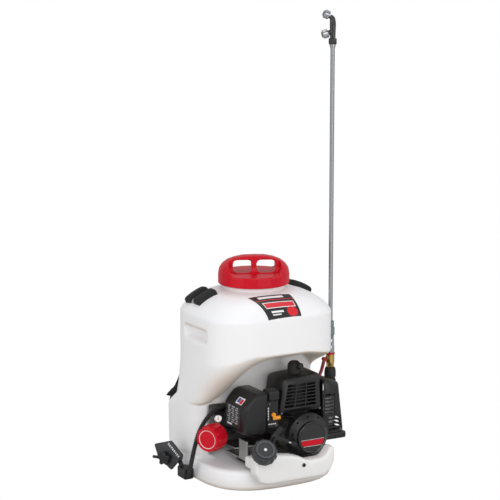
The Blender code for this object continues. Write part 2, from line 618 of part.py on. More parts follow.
def build_dial():
    """Ribbed red dial that sets the spray pressure, with the gauge above it."""
    axis, seat = DIAL_AXIS, DIAL_SEAT
    dial = rod_bmesh(seat, seat + axis * 0.040, 0.0275, 24, 0.0255)
    ribs = []
    for n in range(12):
        rib = box_bmesh((0.0245, -0.0024, 0.002), (0.0287, 0.0024, 0.034))
        rib.transform(Matrix.Translation(seat) @ turn_to(axis) @ Matrix.Rotation(2 * math.pi * n / 12, 4, "Z"))
        ribs.append(rib)
    knob = fuse("pressure_dial", [dial, *ribs], RED)
    face = seat + axis * 0.040
    ring = rod_bmesh(face - axis * 0.002, face + axis * 0.01, 0.0205, 24)
    cut(knob, ring)
    foot = Vector((-0.1206, -0.0626, DIAL_Z + 0.0120 + GAP))
    gauge = [(0.0, 0.0125), (0.0075, 0.0125), (0.0085, 0.0115), (0.0085, 0.004), (0.0045, 0.003), (0.0045, 0.0), (0.0, 0.0)]
    return turned("pressure_gauge", gauge, foot, Z, IVORY, 18)


# Throttle control

PLATE_SIDE, PLATE_OUT = Vector((0.6, -0.8, 0.0)), Vector((-0.8, -0.6, 0.0))
PLATE_CORNER = Vector((-0.207, 0.066, 0.071))


def on_plate(side, up, out):
    """A point given along, above and in front of the throttle plate's left corner."""
    return PLATE_CORNER + PLATE_SIDE * side + Z * up + PLATE_OUT * out


def build_throttle():
    """Diamond throttle plate on its clamp, the lobed lever, and the corrugated cable conduit to the carburettor."""
    outline = [(0.0, 0.0), (0.041, 0.012), (0.070, -0.0185), (0.0415, -0.054), (0.010, -0.030)]
    bm = bmesh.new()
    face = bm.faces.new([bm.verts.new(on_plate(u, v, 0.001)) for u, v in outline])
    grown = bmesh.ops.extrude_face_region(bm, geom=[face])
    bmesh.ops.translate(bm, verts=[v for v in grown["geom"] if isinstance(v, bmesh.types.BMVert)], vec=PLATE_OUT * 0.009)
    bmesh.ops.recalc_face_normals(bm, faces=bm.faces)
    bevelled(bm, 0.003, 2)
    from_bmesh("throttle_plate", bm, BLACK)
    hub, top = on_plate(0.030, -0.026, 0.0104), on_plate(0.030, -0.026, 0.024)
    knob = [rod_bmesh(hub, top, 0.011, 18, 0.010)]
    for n in range(5):
        angle = math.radians(72 * n + 20)
        shift = PLATE_SIDE * 0.010 * math.cos(angle) + Z * 0.010 * math.sin(angle)
        knob.append(rod_bmesh(hub + shift + PLATE_OUT * 0.002, top + shift - PLATE_OUT * 0.001, 0.0052, 10))
    fin = box_bmesh((-0.030, -0.003, 0.001), (-0.004, 0.003, 0.007), 0.0012, 1)
    frame = Matrix((PLATE_SIDE, Z, PLATE_OUT)).transposed().to_4x4()
    fin.transform(Matrix.Translation(hub) @ frame)
    knob.append(fin)
    fuse("throttle_lever", knob, BLACK)
    clamp = fuse("throttle_clamp", [box_bmesh((-0.1755, -0.010, 0.003), (-0.1535, 0.026, 0.027), 0.002, 1),
                                    rod_bmesh((-0.166, 0.014, 0.018), on_plate(0.050, -0.028, -0.009), 0.005, 12),
                                    rod_bmesh(on_plate(0.050, -0.028, -0.013), on_plate(0.050, -0.028, 0.0006), 0.0095, 16)], BLACK)
    stops = [(-0.169, -0.0150, 0.014), (-0.171, -0.030, 0.040), (-0.166, -0.040, 0.084), (-0.1560, -0.046, 0.122),
             (-0.134, -0.048, 0.152), (-0.100, -0.0390, 0.164), (-0.066, -0.0385, 0.164), (-0.036, -0.044, 0.160),
             (-0.026, -0.054, 0.158)]
    tube("throttle_conduit", smooth_route(stops, 24), 0.0046, RUBBER, 2)
    return clamp


# Lance


def along(z, side=0.0):
    """A point on the lance's axis, moved sideways."""
    return Vector((LANCE_X + side, LANCE_Y, z))


def build_lance():
    """Spray lance: hose tail, ribbed grip, brass trigger valve, nut, sleeve, pipe and twin nozzle head."""
    tail = [(0.0, 0.0985), (0.0065, 0.0985), (0.0065, 0.092), (0.0052, 0.090), (0.0062, 0.084), (0.005, 0.080), (0.0, 0.080)]
    turned("hose_tail", tail, along(0), Z, BRASS, 14)
    grip = [(0.0, 0.2195), (0.0098, 0.2195), (0.0118, 0.216)]
    for n in range(6):
        z = 0.208 - n * 0.0165
        grip += [(0.0128, z), (0.0128, z - 0.010), (0.0114, z - 0.0115), (0.0114, z - 0.0150)]
    grip += [(0.0122, 0.104), (0.0105, 0.099), (0.0, 0.099)]
    turned("lance_grip", grip, along(0), Z, RUBBER, 12)
    fuse("trigger_valve", [rod_bmesh(along(0.220), along(0.232), 0.0085, 6), rod_bmesh(along(0.230), along(0.2485), 0.0095, 18),
                           rod_bmesh(along(0.240), along(0.240, -0.0095), 0.0052, 14)], BRASS)
    pivot = along(0.2385, -0.0152)
    blade = [rod_bmesh(pivot - Y * 0.0045, pivot + Y * 0.0045, 0.0046, 14)]
    stops = [pivot + Z * 0.001, along(0.226, -0.0185), along(0.211, -0.0235), along(0.196, -0.0315)]
    blade.append(ribbon_bmesh(stops, 0.0040, 0.0042, 6, Y))
    fuse("trigger_lever", blade, RED)
    nut = [(0.0, 0.2846), (0.0072, 0.2846), (0.0085, 0.282), (0.0085, 0.272), (0.0075, 0.270), (0.0092, 0.268), (0.0092, 0.2525),
           (0.0080, 0.249), (0.0, 0.249)]
    turned("lance_nut", nut, along(0), Z, CHROME, 16)
    bore = PIPE_RADIUS + GAP
    sleeve = [(0.0078, 0.3235), (0.0078, 0.285), (bore, 0.285), (bore, 0.3235)]
    turned("lance_sleeve", sleeve, along(0), Z, GREY, 20)
    pipe = [(0.0, 0.9375), (0.0062, 0.9375), (0.0068, 0.936), (0.0068, 0.926), (PIPE_RADIUS, 0.920), (PIPE_RADIUS, 0.285),
            (0.0, 0.285)]
    turned("lance_pipe", pipe, along(0), Z, CHROME, 16)
    aim = Vector((-0.82, 0.38, 0.42)).normalized()
    low_aim = Vector((-0.86, 0.40, -0.30)).normalized()
    fork, high = along(0.956), along(0.986)
    fuse("nozzle_head", [rod_bmesh(along(0.9380), along(0.990), 0.0058, 16), rod_bmesh(high - aim * 0.004, high + aim * 0.008, 0.0060, 14),
                         rod_bmesh(fork, fork + low_aim * 0.010, 0.0060, 14)], BLACK)
    for name, seat, way in (("nozzle_upper", high + aim * 0.0084, aim), ("nozzle_lower", fork + low_aim * 0.0104, low_aim)):
        tip = [(0.0, 0.014), (0.0055, 0.014), (0.0095, 0.011), (0.0095, 0.002), (0.008, 0.0), (0.0, 0.0)]
        turned(name, tip, seat, way, CHROME, 18)


def wall_x(y, z):
    """Right side of the tank at a point of the shell."""
    front = tank_front(TANK_HALF_WIDTH, z, COLUMN_FRONT)
    reach = abs(y - (front + TANK_REAR) / 2) / ((TANK_REAR - front) / 2)
    return TANK_HALF_WIDTH * (1 - reach ** 3.4) ** (1 / 3.4)


def build_holder():
    """Snap clip on the tank's side that the lance sleeve pulls out of."""
    z, half, deep = 0.302, 0.009, 0.006
    mouth = 0.0078 + 0.0006
    pad = box_bmesh((0.150, LANCE_Y - deep, z - half), (LANCE_X - mouth - 0.0005, LANCE_Y + deep, z + half))
    for vert in pad.verts:
        if vert.co.x < 0.155:
            vert.co.x = wall_x(vert.co.y, vert.co.z) + 0.0008
    arms = box_bmesh((LANCE_X - mouth - 0.0022, LANCE_Y - mouth - 0.0025, z - half), (LANCE_X + 0.005, LANCE_Y + mouth + 0.0025, z + half),
                     0.001, 1)
    clip = fuse("lance_clip", [pad, arms], BLACK)
    cut(clip, rod_bmesh((LANCE_X, LANCE_Y, z - 0.03), (LANCE_X, LANCE_Y, z + 0.03), mouth, 24),
        box_bmesh((LANCE_X, LANCE_Y - mouth, z - 0.03), (LANCE_X + 0.03, LANCE_Y + mouth, z + 0.03)))


# Harness


def ribbon_bmesh(stops, half_width, thickness, count, wide=X):
    """A flat strap that follows stops, with its width along the wide direction."""
    route = smooth_route(stops, count)
    bm = bmesh.new()
    rings = []
    for n, point in enumerate(route):
        ahead = (route[min(n + 1, count - 1)] - route[max(n - 1, 0)]).normalized()
        across = (wide - ahead * wide.dot(ahead)).normalized()
        normal = ahead.cross(across)
        rings.append([bm.verts.new(point + across * half_width * a + normal * thickness / 2 * b)
                      for a, b in ((-1, -0.4), (-0.9, -1), (0.9, -1), (1, -0.4), (1, 0.4), (0.9, 1), (-0.9, 1), (-1, 0.4))])
    for low, high in zip(rings, rings[1:]):
        for n in range(8):
            m = (n + 1) % 8
            bm.faces.new((low[n], low[m], high[m], high[n]))
    bm.faces.new(rings[0])
    bm.faces.new(rings[-1])
    bmesh.ops.recalc_face_normals(bm, faces=bm.faces)
    return bm


def crown_height(x, y):
    """Height of the tank's shoulder over a point, found by halving the crown's angle."""
    low, high = 0.0, math.pi / 2
    for _ in range(24):
        angle = (low + high) / 2
        pull = CROWN_IN * (1 - math.cos(angle))
        square = 3.4 - 1.2 * angle / (math.pi / 2)
        front, rear = TANK_FRONT + pull * 0.8, TANK_REAR - pull * 0.6
        across = abs(x) / (TANK_HALF_WIDTH - pull)
        deep = abs(y - (front + rear) / 2) / ((rear - front) / 2)
        if across ** square + deep ** square < 1:
            low = angle
        else:
            high = angle
    return SHOULDER_Z + CROWN_RISE * math.sin(low) ** 0.9


def build_harness():
    """Shoulder straps down the back, their lower webbing, and the anchors on the shoulders."""
    half = 0.025
    for side, word in ((-1, "left"), (1, "right")):
        x = side * STRAP_X
        pad = [(x, y, crown_height(STRAP_X - half, y) + 0.0072) for y in (0.062, 0.080, 0.098)]
        pad += [(x, 0.1225, 0.376), (x, 0.1290, 0.345), (x, 0.1275, 0.290), (side * 0.096, 0.1320, 0.235), (side * 0.102, 0.1560, 0.196),
                (side * 0.108, 0.1670, 0.165), (side * 0.110, 0.1680, 0.140)]
        from_bmesh(f"shoulder_pad_{word}", ribbon_bmesh(pad, half, 0.010, 14), WEBBING)
        tail = [(side * 0.1105, 0.1675, 0.133), (side * 0.112, 0.1660, 0.105), (side * 0.114, 0.1620, 0.070), (side * 0.115, 0.1580, 0.040),
                (side * 0.1155, 0.1560, 0.024)]
        from_bmesh(f"lower_webbing_{word}", ribbon_bmesh(tail, 0.0125, 0.0022, 6), WEBBING)
        anchor(f"strap_anchor_{word}", side, (0.098, 0.146), (-0.012, 0.056), 0.0042, BLACK)


def anchor(name, side, x_span, y_span, thickness, material):
    """A webbing end with its buckle that lies on the sloping shoulder, as a bent slab with a groove."""
    rows, columns = 7, 6
    bm = bmesh.new()
    sheets = []
    for lift in (ANCHOR_LIFT, ANCHOR_LIFT + thickness):
        sheet = []
        for i in range(rows):
            x = x_span[0] + (x_span[1] - x_span[0]) * i / (rows - 1)
            row = []
            for j in range(columns):
                y = y_span[0] + (y_span[1] - y_span[0]) * j / (columns - 1)
                row.append(bm.verts.new((side * x, y, crown_height(x, y) + lift)))
            sheet.append(row)
        sheets.append(sheet)
    under, over = sheets
    for sheet in sheets:
        for i in range(rows - 1):
            for j in range(columns - 1):
                bm.faces.new((sheet[i][j], sheet[i + 1][j], sheet[i + 1][j + 1], sheet[i][j + 1]))
    rim = [(i, 0) for i in range(rows)] + [(rows - 1, j) for j in range(1, columns)]
    rim += [(i, columns - 1) for i in reversed(range(rows - 1))] + [(0, j) for j in reversed(range(1, columns - 1))]
    for (i, j), (k, m) in zip(rim, rim[1:] + rim[:1]):
        bm.faces.new((under[i][j], under[k][m], over[k][m], over[i][j]))
    return from_bmesh(name, bm, material)


def main():
    """Build every sub-assembly."""
    build_tank()
    build_filler()
    build_mounting()
    build_block()
    build_cowl()
    build_muffler()
    build_starter()
    build_recoil()
    build_intake()
    build_fuel()
    build_pump()
    build_dial()
    build_throttle()
    build_lance()
    build_holder()
    build_harness()


main()
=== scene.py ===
"""Looks of an engine-driven backpack sprayer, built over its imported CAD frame.

The tank, straps, tubes, turned trim and printed plates are grid surfaces worked out with numpy. The other
pieces are finished copies of the CAD nodes: welded, edge-rounded and given a detailed finish.
"""

from __future__ import annotations

import json
import logging
import math
from dataclasses import dataclass
from enum import Enum

import bmesh
import bpy
import numpy as np
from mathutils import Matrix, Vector


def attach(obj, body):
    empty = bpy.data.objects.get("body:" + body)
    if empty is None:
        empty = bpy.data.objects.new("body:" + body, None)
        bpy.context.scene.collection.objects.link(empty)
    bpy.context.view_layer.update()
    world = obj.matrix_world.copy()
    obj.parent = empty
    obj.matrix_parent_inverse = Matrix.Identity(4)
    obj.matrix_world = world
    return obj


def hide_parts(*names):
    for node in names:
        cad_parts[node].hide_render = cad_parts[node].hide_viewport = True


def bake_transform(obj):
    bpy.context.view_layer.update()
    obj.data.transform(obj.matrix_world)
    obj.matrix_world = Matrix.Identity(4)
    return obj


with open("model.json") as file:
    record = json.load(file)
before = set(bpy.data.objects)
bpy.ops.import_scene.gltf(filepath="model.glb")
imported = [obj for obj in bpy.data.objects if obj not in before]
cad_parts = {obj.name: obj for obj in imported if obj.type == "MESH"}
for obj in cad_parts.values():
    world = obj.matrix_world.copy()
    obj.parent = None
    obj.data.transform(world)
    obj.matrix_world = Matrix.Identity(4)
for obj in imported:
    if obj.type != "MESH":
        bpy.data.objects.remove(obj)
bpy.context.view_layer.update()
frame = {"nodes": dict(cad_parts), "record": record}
LOG = logging.getLogger("sprayer")
BODY_OF = {node: body for body, nodes in frame["record"]["behaviour"]["bodies"].items() for node in nodes}

Triple = tuple[float, float, float]
Numbers = tuple[float, ...]
Tree = bpy.types.NodeTree
Socket = bpy.types.NodeSocket
Piece = bpy.types.Object
ACROSS, DEEP, UP, FORWARD = (1, 0, 0), (0, 1, 0), (0, 0, 1), (0, -1, 0)
ON_AXIS = 0.0001
PRINT_LIFT = 0.0004
SHARP, TURNED_SHARP, RIB_SHARP = math.radians(38), math.radians(40), math.radians(50)
FLOOR_LEVEL = -0.0004


class Edge(Enum):
    """How a copied CAD node is finished."""

    CRISP = "crisp"
    MOULDED = "moulded"


class Mark(Enum):
    """Shape of a printed mark."""

    BAR = "bar"
    DISC = "disc"


def feed(tree: Tree, target: bpy.types.Node, values: dict) -> None:
    """Set or link inputs of a shader node.

    Args:
        tree: Tree of the node.
        target: The node.
        values: For each input, its value or the socket to link.
    """
    for key, value in values.items():
        if isinstance(value, Socket):
            tree.links.new(value, target.inputs[key])
        else:
            target.inputs[key].default_value = value


def add_node(tree: Tree, kind: str, out: str, values: dict | None = None, **settings: str) -> Socket:
    """Add a shader node.

    Args:
        tree: Tree it joins.
        kind: Its type, without the ShaderNode in front.
        out: Name of the output wanted.
        values: Values or links of its inputs.
        settings: Properties such as operation.

    Returns:
        The output.
    """
    made = tree.nodes.new(f"ShaderNode{kind}")
    for name, value in settings.items():
        setattr(made, name, value)
    feed(tree, made, values or {})
    return made.outputs[out]


def mixed(tree: Tree, share: Socket, first: Socket | Triple, second: Triple) -> Socket:
    """Mix two colours.

    Args:
        tree: Tree of the material.
        share: Share of the second colour.
        first: First colour.
        second: Second colour.

    Returns:
        The mixed colour.
    """
    start = first if isinstance(first, Socket) else (*first, 1.0)
    values = {"Factor": share, "A": start, "B": (*second, 1.0)}
    return add_node(tree, "Mix", "Result", values, data_type="RGBA")


def split_by_ray(tree: Tree, lit: Socket, seen: Socket, output: str) -> None:
    """Show the camera one shader and give the other to every other ray.

    Args:
        tree: Tree of a material or world.
        lit: Shader for the other rays.
        seen: Shader for the camera.
        output: Name of the output node.
    """
    ray = add_node(tree, "LightPath", "Is Camera Ray")
    mix = add_node(tree, "MixShader", "Shader", {"Fac": ray, 1: lit, 2: seen})
    feed(tree, tree.nodes[output], {"Surface": mix})


@dataclass(frozen=True)
class Look:
    """A named material that is made once.

    Attributes:
        name: Material name.
    """

    name: str

    def material(self) -> bpy.types.Material:
        """Make the material, or return the one already made.

        Returns:
            The node-based material.
        """
        known = bpy.data.materials.get(self.name)
        if known:
            return known
        material = bpy.data.materials.new(self.name)
        material.use_nodes = True
        self.paint(material.node_tree, material.node_tree.nodes["Principled BSDF"])
        return material

    def paint(self, tree: Tree, shader: bpy.types.Node) -> None:
        """Wire the shader in the material's node tree."""
        raise NotImplementedError


@dataclass(frozen=True)
class Finish(Look):
    """A procedural surface finish.

    Attributes:
        colour: Linear base colour.
        roughness: Mean roughness.
        metallic: Metallic share.
        grain: Noise scale of the surface, in cells per metre.
        bump: Strength of the fine relief.
        vary: Share by which colour and roughness wander.
        sub: Subsurface weight.
        coat: Clear-coat weight.
        gloss: Specular level.
        weave: Threads per metre of a woven relief, or 0.
        under: Painted shade colour that faces turned down take on, or None.
    """

    colour: Triple
    roughness: float = 0.5
    metallic: float = 0.0
    grain: float = 900.0
    bump: float = 0.05
    vary: float = 0.12
    sub: float = 0.0
    coat: float = 0.0
    gloss: float = 0.5
    weave: float = 0.0
    under: Triple | None = None

    def paint(self, tree: Tree, shader: bpy.types.Node) -> None:
        """Wire the shader: broad noise moves colour and roughness, fine noise or a weave makes the relief.

        Args:
            tree: Node tree of the material.
            shader: Its shader.
        """
        place = add_node(tree, "TexCoord", "Object")
        broad = add_node(tree, "TexNoise", "Fac", {"Vector": place, "Scale": 14.0, "Detail": 4.0})
        fine = add_node(tree, "TexNoise", "Fac", {"Vector": place, "Scale": self.grain, "Detail": 2.0})
        low = tuple(c * (1 - self.vary) for c in self.colour)
        high = tuple(min(1.0, c * (1 + self.vary * 0.6)) for c in self.colour)
        colour = mixed(tree, broad, low, high)
        rough = add_node(tree, "MapRange", "Result", {
            "Value": broad, "To Min": self.roughness * (1 - self.vary),
            "To Max": min(1.0, self.roughness * (1 + self.vary))})
        height = self.woven(tree, place) if self.weave else fine
        bumps = {"Strength": self.bump, "Distance": 0.0006, "Height": height}
        relief = add_node(tree, "Bump", "Normal", bumps)
        # Faces turned down get a painted shade from shade_under when the finish has an under colour.
        feed(tree, shader, {
            "Metallic": self.metallic, "Coat Weight": self.coat, "Coat Roughness": 0.08,
            "Specular IOR Level": self.gloss, "Roughness": rough, "Normal": relief,
            "Base Color": self.shade_under(tree, colour) if self.under else colour})
        if self.sub:
            feed(tree, shader, {"Subsurface Weight": self.sub, "Subsurface Radius": (0.012, 0.011, 0.01),
                                "Subsurface Scale": 1.0})

    def shade_under(self, tree: Tree, colour: Socket) -> Socket:
        """Paint shade into the colour of faces that look down: the more a face looks down, the more it is
        mixed towards a darker warm colour.

        Args:
            tree: Node tree of the material.
            colour: Colour to start from.

        Returns:
            The mixed colour.
        """
        # Painted shade: the share of the darker under colour grows as the face's normal turns down.
        normal = add_node(tree, "NewGeometry", "Normal")
        rise = add_node(tree, "SeparateXYZ", "Z", {"Vector": normal})
        span = add_node(tree, "MapRange", "Result", {
            "Value": rise, "From Min": 0.05, "From Max": -0.85, "To Min": 0.0, "To Max": 1.0})
        return mixed(tree, span, colour, self.under)

    def woven(self, tree: Tree, place: Socket) -> Socket:
        """Plain weave: the product of two crossed waves.

        Args:
            tree: Node tree of the material.
            place: Object coordinates.

        Returns:
            Height of the weave.
        """
        wave = {"Vector": place, "Scale": self.weave / 20}
        waves = [add_node(tree, "TexWave", "Fac", wave, bands_direction=way) for way in ("X", "Z")]
        return add_node(tree, "Math", "Value", dict(enumerate(waves)), operation="MULTIPLY")


@dataclass(frozen=True)
class Print(Look):
    """A printed plate: plain marks on a ground, placed by the piece's own UV.

    Attributes:
        ground: Linear colour of the ground.
        marks: Shape, colour, centre u and v, half width and half height of each mark.
        roughness: Roughness.
    """

    ground: Triple
    marks: tuple[tuple, ...] = ()
    roughness: float = 0.35

    def paint(self, tree: Tree, shader: bpy.types.Node) -> None:
        """Wire the shader: the marks over the ground, and noise in the roughness.

        Args:
            tree: Node tree of the material.
            shader: Its shader.
        """
        place = add_node(tree, "TexCoord", "UV")
        noise = add_node(tree, "TexNoise", "Fac", {"Vector": place, "Scale": 60.0})
        rough = add_node(tree, "MapRange", "Result", {
            "Value": noise, "To Min": self.roughness * 0.8, "To Max": self.roughness * 1.2})
        colour = add_node(tree, "RGB", "Color")
        colour.default_value = (*self.ground, 1.0)
        for mark in self.marks:
            colour = self.printed(tree, place, colour, *mark)
        feed(tree, shader, {"Roughness": rough, "Base Color": colour})

    def printed(self, tree: Tree, place: Socket, under: Socket, shape: Mark, colour: Triple,
                u: float, v: float, wide: float, high: float) -> Socket:
        """Lay one mark over a colour: d = max(|du|, |dv|) < 1 for a bar, d = |(du, dv)| < 1 for a disc.

        Args:
            tree: Node tree of the material.
            place: UV coordinates.
            under: Colour below the mark.
            shape: Bar or disc.
            colour: Colour of the mark.
            u: Centre, as a share of the width.
            v: Centre, as a share of the height.
            wide: Half width.
            high: Half height.

        Returns:
            The colour with the mark.
        """
        shift = add_node(tree, "VectorMath", "Vector", {0: place, 1: (u, v, 0.0)}, operation="SUBTRACT")
        scale = add_node(tree, "VectorMath", "Vector", {0: shift, 1: (wide, high, 1.0)}, operation="DIVIDE")
        if shape is Mark.DISC:
            distance = add_node(tree, "VectorMath", "Value", {0: scale}, operation="LENGTH")
        else:
            size = add_node(tree, "VectorMath", "Vector", {0: scale}, operation="ABSOLUTE")
            parts = [add_node(tree, "SeparateXYZ", way, {"Vector": size}) for way in ("X", "Y")]
            distance = add_node(tree, "Math", "Value", dict(enumerate(parts)), operation="MAXIMUM")
        inside = add_node(tree, "Math", "Value", {0: distance, 1: 1.0}, operation="LESS_THAN")
        return mixed(tree, inside, under, colour)


INK, PAPER, SCARLET = (0.012, 0.012, 0.013), (0.86, 0.86, 0.86), (0.66, 0.01, 0.022)
# The under colours of the tank and fuel tank finishes are painted shade: faces turned down are darkened
# towards a warm tone.
WHITE = Finish("tank_polyethylene", (0.9, 0.9, 0.915), 0.42, grain=500, bump=0.03, vary=0.012, sub=0.08,
               under=(0.7, 0.6, 0.5))
FUEL_WHITE = Finish("fuel_polyethylene", (0.82, 0.82, 0.81), 0.36, grain=500, bump=0.03, vary=0.02, sub=0.1,
                    under=(0.6, 0.55, 0.5))
RED = Finish("cap_red", (0.58, 0.002, 0.015), 0.34, grain=700, bump=0.02, vary=0.04, gloss=0.22)
DARK_RED = Finish("lever_red", (0.3, 0.01, 0.014), 0.35, bump=0.03, vary=0.08)
BLACK = Finish("moulded_black", (0.009, 0.009, 0.01), 0.38, grain=1800, bump=0.1, vary=0.15, gloss=0.4)
SHINE_BLACK = Finish("shiny_black", (0.007, 0.007, 0.008), 0.22, grain=1200, bump=0.03, vary=0.1, coat=0.3)
CHARCOAL = Finish("charcoal", (0.03, 0.031, 0.035), 0.45, grain=1500, bump=0.1, vary=0.12)
RUBBER = Finish("rubber", (0.012, 0.012, 0.012), 0.7, grain=2200, bump=0.2, vary=0.15)
WEBBING = Finish("webbing", (0.012, 0.012, 0.013), 0.85, bump=0.6, vary=0.2, weave=700)
MESH = Finish("air_mesh", (0.014, 0.014, 0.015), 0.9, bump=0.8, vary=0.2, weave=420)
ALLOY = Finish("cast_alloy", (0.4, 0.4, 0.39), 0.45, 1.0, grain=1400, bump=0.2, vary=0.12)
# Dark alloy of the cylinder and the pump body; the cylinder is this dark so that it reads dark through the
# cowl's grille.
DARK_ALLOY = Finish("dark_cast_alloy", (0.03, 0.03, 0.031), 0.5, grain=1400, bump=0.2, vary=0.15)
ZINC = Finish("zinc_plate", (0.5, 0.51, 0.49), 0.36, 1.0, grain=300, bump=0.05, vary=0.12)
MUFFLER = Finish("muffler_steel", (0.42, 0.42, 0.41), 0.42, 0.8, grain=700, bump=0.1, vary=0.2)
CHROME = Finish("chrome_plate", (0.4, 0.41, 0.43), 0.2, 1.0, grain=400, bump=0.01, vary=0.05)
BRASS = Finish("machined_brass", (0.56, 0.37, 0.11), 0.28, 1.0, grain=600, bump=0.05, vary=0.1)
ORANGE = Finish("choke_orange", (0.88, 0.33, 0.012), 0.38, bump=0.03, vary=0.06)
SLEEVE = Finish("grey_green", (0.15, 0.22, 0.21), 0.5, grain=1500, bump=0.1, vary=0.1)
FOAM = Finish("foam", (0.1, 0.085, 0.05), 0.95, grain=900, bump=0.9, vary=0.3)
IVORY = Finish("ivory", (0.78, 0.78, 0.76), 0.4, bump=0.02, vary=0.04)
BUCKLE = Finish("buckle_grey", (0.34, 0.35, 0.38), 0.28, grain=600, bump=0.03, vary=0.08)
GREY = Finish("grey_trim", (0.085, 0.088, 0.098), 0.4, grain=1200, bump=0.08, vary=0.1)
LABEL = Print("tank_label", PAPER, (
    (Mark.BAR, INK, 0.5, 0.49, 0.482, 0.488), (Mark.BAR, SCARLET, 0.5, 0.735, 0.482, 0.012),
    (Mark.BAR, PAPER, 0.47, 0.86, 0.3, 0.05), (Mark.BAR, PAPER, 0.52, 0.52, 0.4, 0.115),
    (Mark.BAR, SCARLET, 0.52, 0.52, 0.385, 0.09), (Mark.BAR, PAPER, 0.36, 0.27, 0.17, 0.035),
    (Mark.BAR, PAPER, 0.31, 0.17, 0.12, 0.022), (Mark.DISC, SCARLET, 0.77, 0.23, 0.15, 0.185)))
PLATE = Print("cleaner_plate", (0.022, 0.022, 0.024), (*(
    (Mark.BAR, (0.42, 0.42, 0.44), 0.16 + 0.27 * m + 0.05 * (n % 2), 0.2 + 0.105 * n,
     0.06 + 0.02 * ((n + m) % 3), 0.026) for n in range(8) for m in range(3)),
    (Mark.BAR, PAPER, 0.22, 0.07, 0.17, 0.04)), 0.4)
STICKER = Print("cleaner_sticker", PAPER, ((Mark.BAR, (0.05, 0.09, 0.36), 0.3, 0.55, 0.2, 0.34),
                                           (Mark.BAR, SCARLET, 0.72, 0.45, 0.2, 0.38)))
SCALE = Print("throttle_scale", (0.03, 0.031, 0.035), tuple(
    (Mark.BAR, PAPER, 0.05 + 0.13 * n, 0.3 + 0.4 * ((n + m) % 2), 0.03 + 0.02 * m, 0.14)
    for n in range(8) for m in range(2)))
NOTE_ROW = Print("panel_note_row", INK, tuple(
    (Mark.BAR, PAPER, 0.15 + 0.23 * n, 0.5, 0.08, 0.3) for n in range(4)))
NOTE_COLUMN = Print("panel_note_column", INK, tuple(
    (Mark.BAR, PAPER, 0.5, 0.1 + 0.2 * n, 0.34, 0.07) for n in range(5)))
DIAL_FACE = Print("gauge_face", PAPER, ((Mark.BAR, INK, 0.5, 0.62, 0.04, 0.22),
                                        (Mark.DISC, SCARLET, 0.5, 0.42, 0.12, 0.12)))


def ease(value: np.ndarray, start: float, end: float) -> np.ndarray:
    """Smooth step 3t^2 - 2t^3 with t = (value - start) / (end - start), clamped to 0 and 1."""
    t = np.clip((np.asarray(value, float) - start) / (end - start), 0, 1)
    return t * t * (3 - 2 * t)


def plateau(value: np.ndarray, start: float, end: float, soft: float) -> np.ndarray:
    """1 between start and end, easing to 0 over a soft margin on both sides."""
    return ease(value, start - soft, start) * (1 - ease(value, end, end + soft))


def hollow(first: np.ndarray, second: np.ndarray, size: Numbers) -> np.ndarray:
    """Sunk field d plateau(first) plateau(second), size being d, then start, end and margin of each."""
    return size[0] * plateau(first, *size[1:4]) * plateau(second, *size[4:])


def power(value: np.ndarray, exponent: np.ndarray | float) -> np.ndarray:
    """Signed power sign(v) |v|^e, which squares off a circle."""
    return np.sign(value) * np.abs(value) ** exponent


def around(count: int) -> np.ndarray:
    """Angles of a full turn from 0, in equal steps."""
    return np.linspace(0, 2 * math.pi, count, endpoint=False)


def circle(radius: float, count: int) -> np.ndarray:
    """(count, 2) points r (cos v, sin v) of a round section."""
    return radius * np.stack([np.cos(around(count)), np.sin(around(count))], -1)


def unit(way: Triple) -> np.ndarray:
    """The direction with length 1."""
    return np.array(Vector(way).normalized())


def lengths(path: np.ndarray) -> np.ndarray:
    """Distance of each point of a path from its first point, along the path."""
    return np.concatenate([[0], np.cumsum(np.linalg.norm(np.diff(path, axis=0), axis=1))])


def spline(stops: list[Triple] | np.ndarray, count: int) -> np.ndarray:
    """Catmull-Rom curve through stops.

    Args:
        stops: Points the curve passes.
        count: Number of samples.

    Returns:
        (count, 3) points.
    """
    p = np.asarray(stops, float)
    p = np.vstack([2 * p[0] - p[1], p, 2 * p[-1] - p[-2]])
    u = np.linspace(0, len(stops) - 1, count)
    i = np.minimum(u.astype(int), len(stops) - 2)
    t = (u - i)[:, None]
    a, b, c, d = p[i], p[i + 1], p[i + 2], p[i + 3]
    square, cube = 2 * a - 5 * b + 4 * c - d, 3 * b - a - 3 * c + d
    return 0.5 * (2 * b + (c - a) * t + square * t ** 2 + cube * t ** 3)


def bilinear(corners: list[Numbers], u: np.ndarray, v: np.ndarray) -> np.ndarray:
    """Bilinear sheet (1 - v)((1 - u) a + u b) + v ((1 - u) d + u c) between corners a, b, c, d.

    Args:
        corners: Four corners, from low u and low v round to high v.
        u: Shares along the columns.
        v: Shares along the rows.

    Returns:
        (rows, columns, n) grid.
    """
    a, b, c, d = np.array(corners, float)
    u, v = u[None, :, None], v[:, None, None]
    return (1 - v) * ((1 - u) * a + u * b) + v * ((1 - u) * d + u * c)


def linked(name: str, data: bpy.types.ID) -> Piece:
    """Make an object and link it to the scene.

    Args:
        name: Object name.
        data: Its mesh, light or camera.

    Returns:
        The object.
    """
    obj = bpy.data.objects.new(name, data)
    bpy.context.scene.collection.objects.link(obj)
    return obj


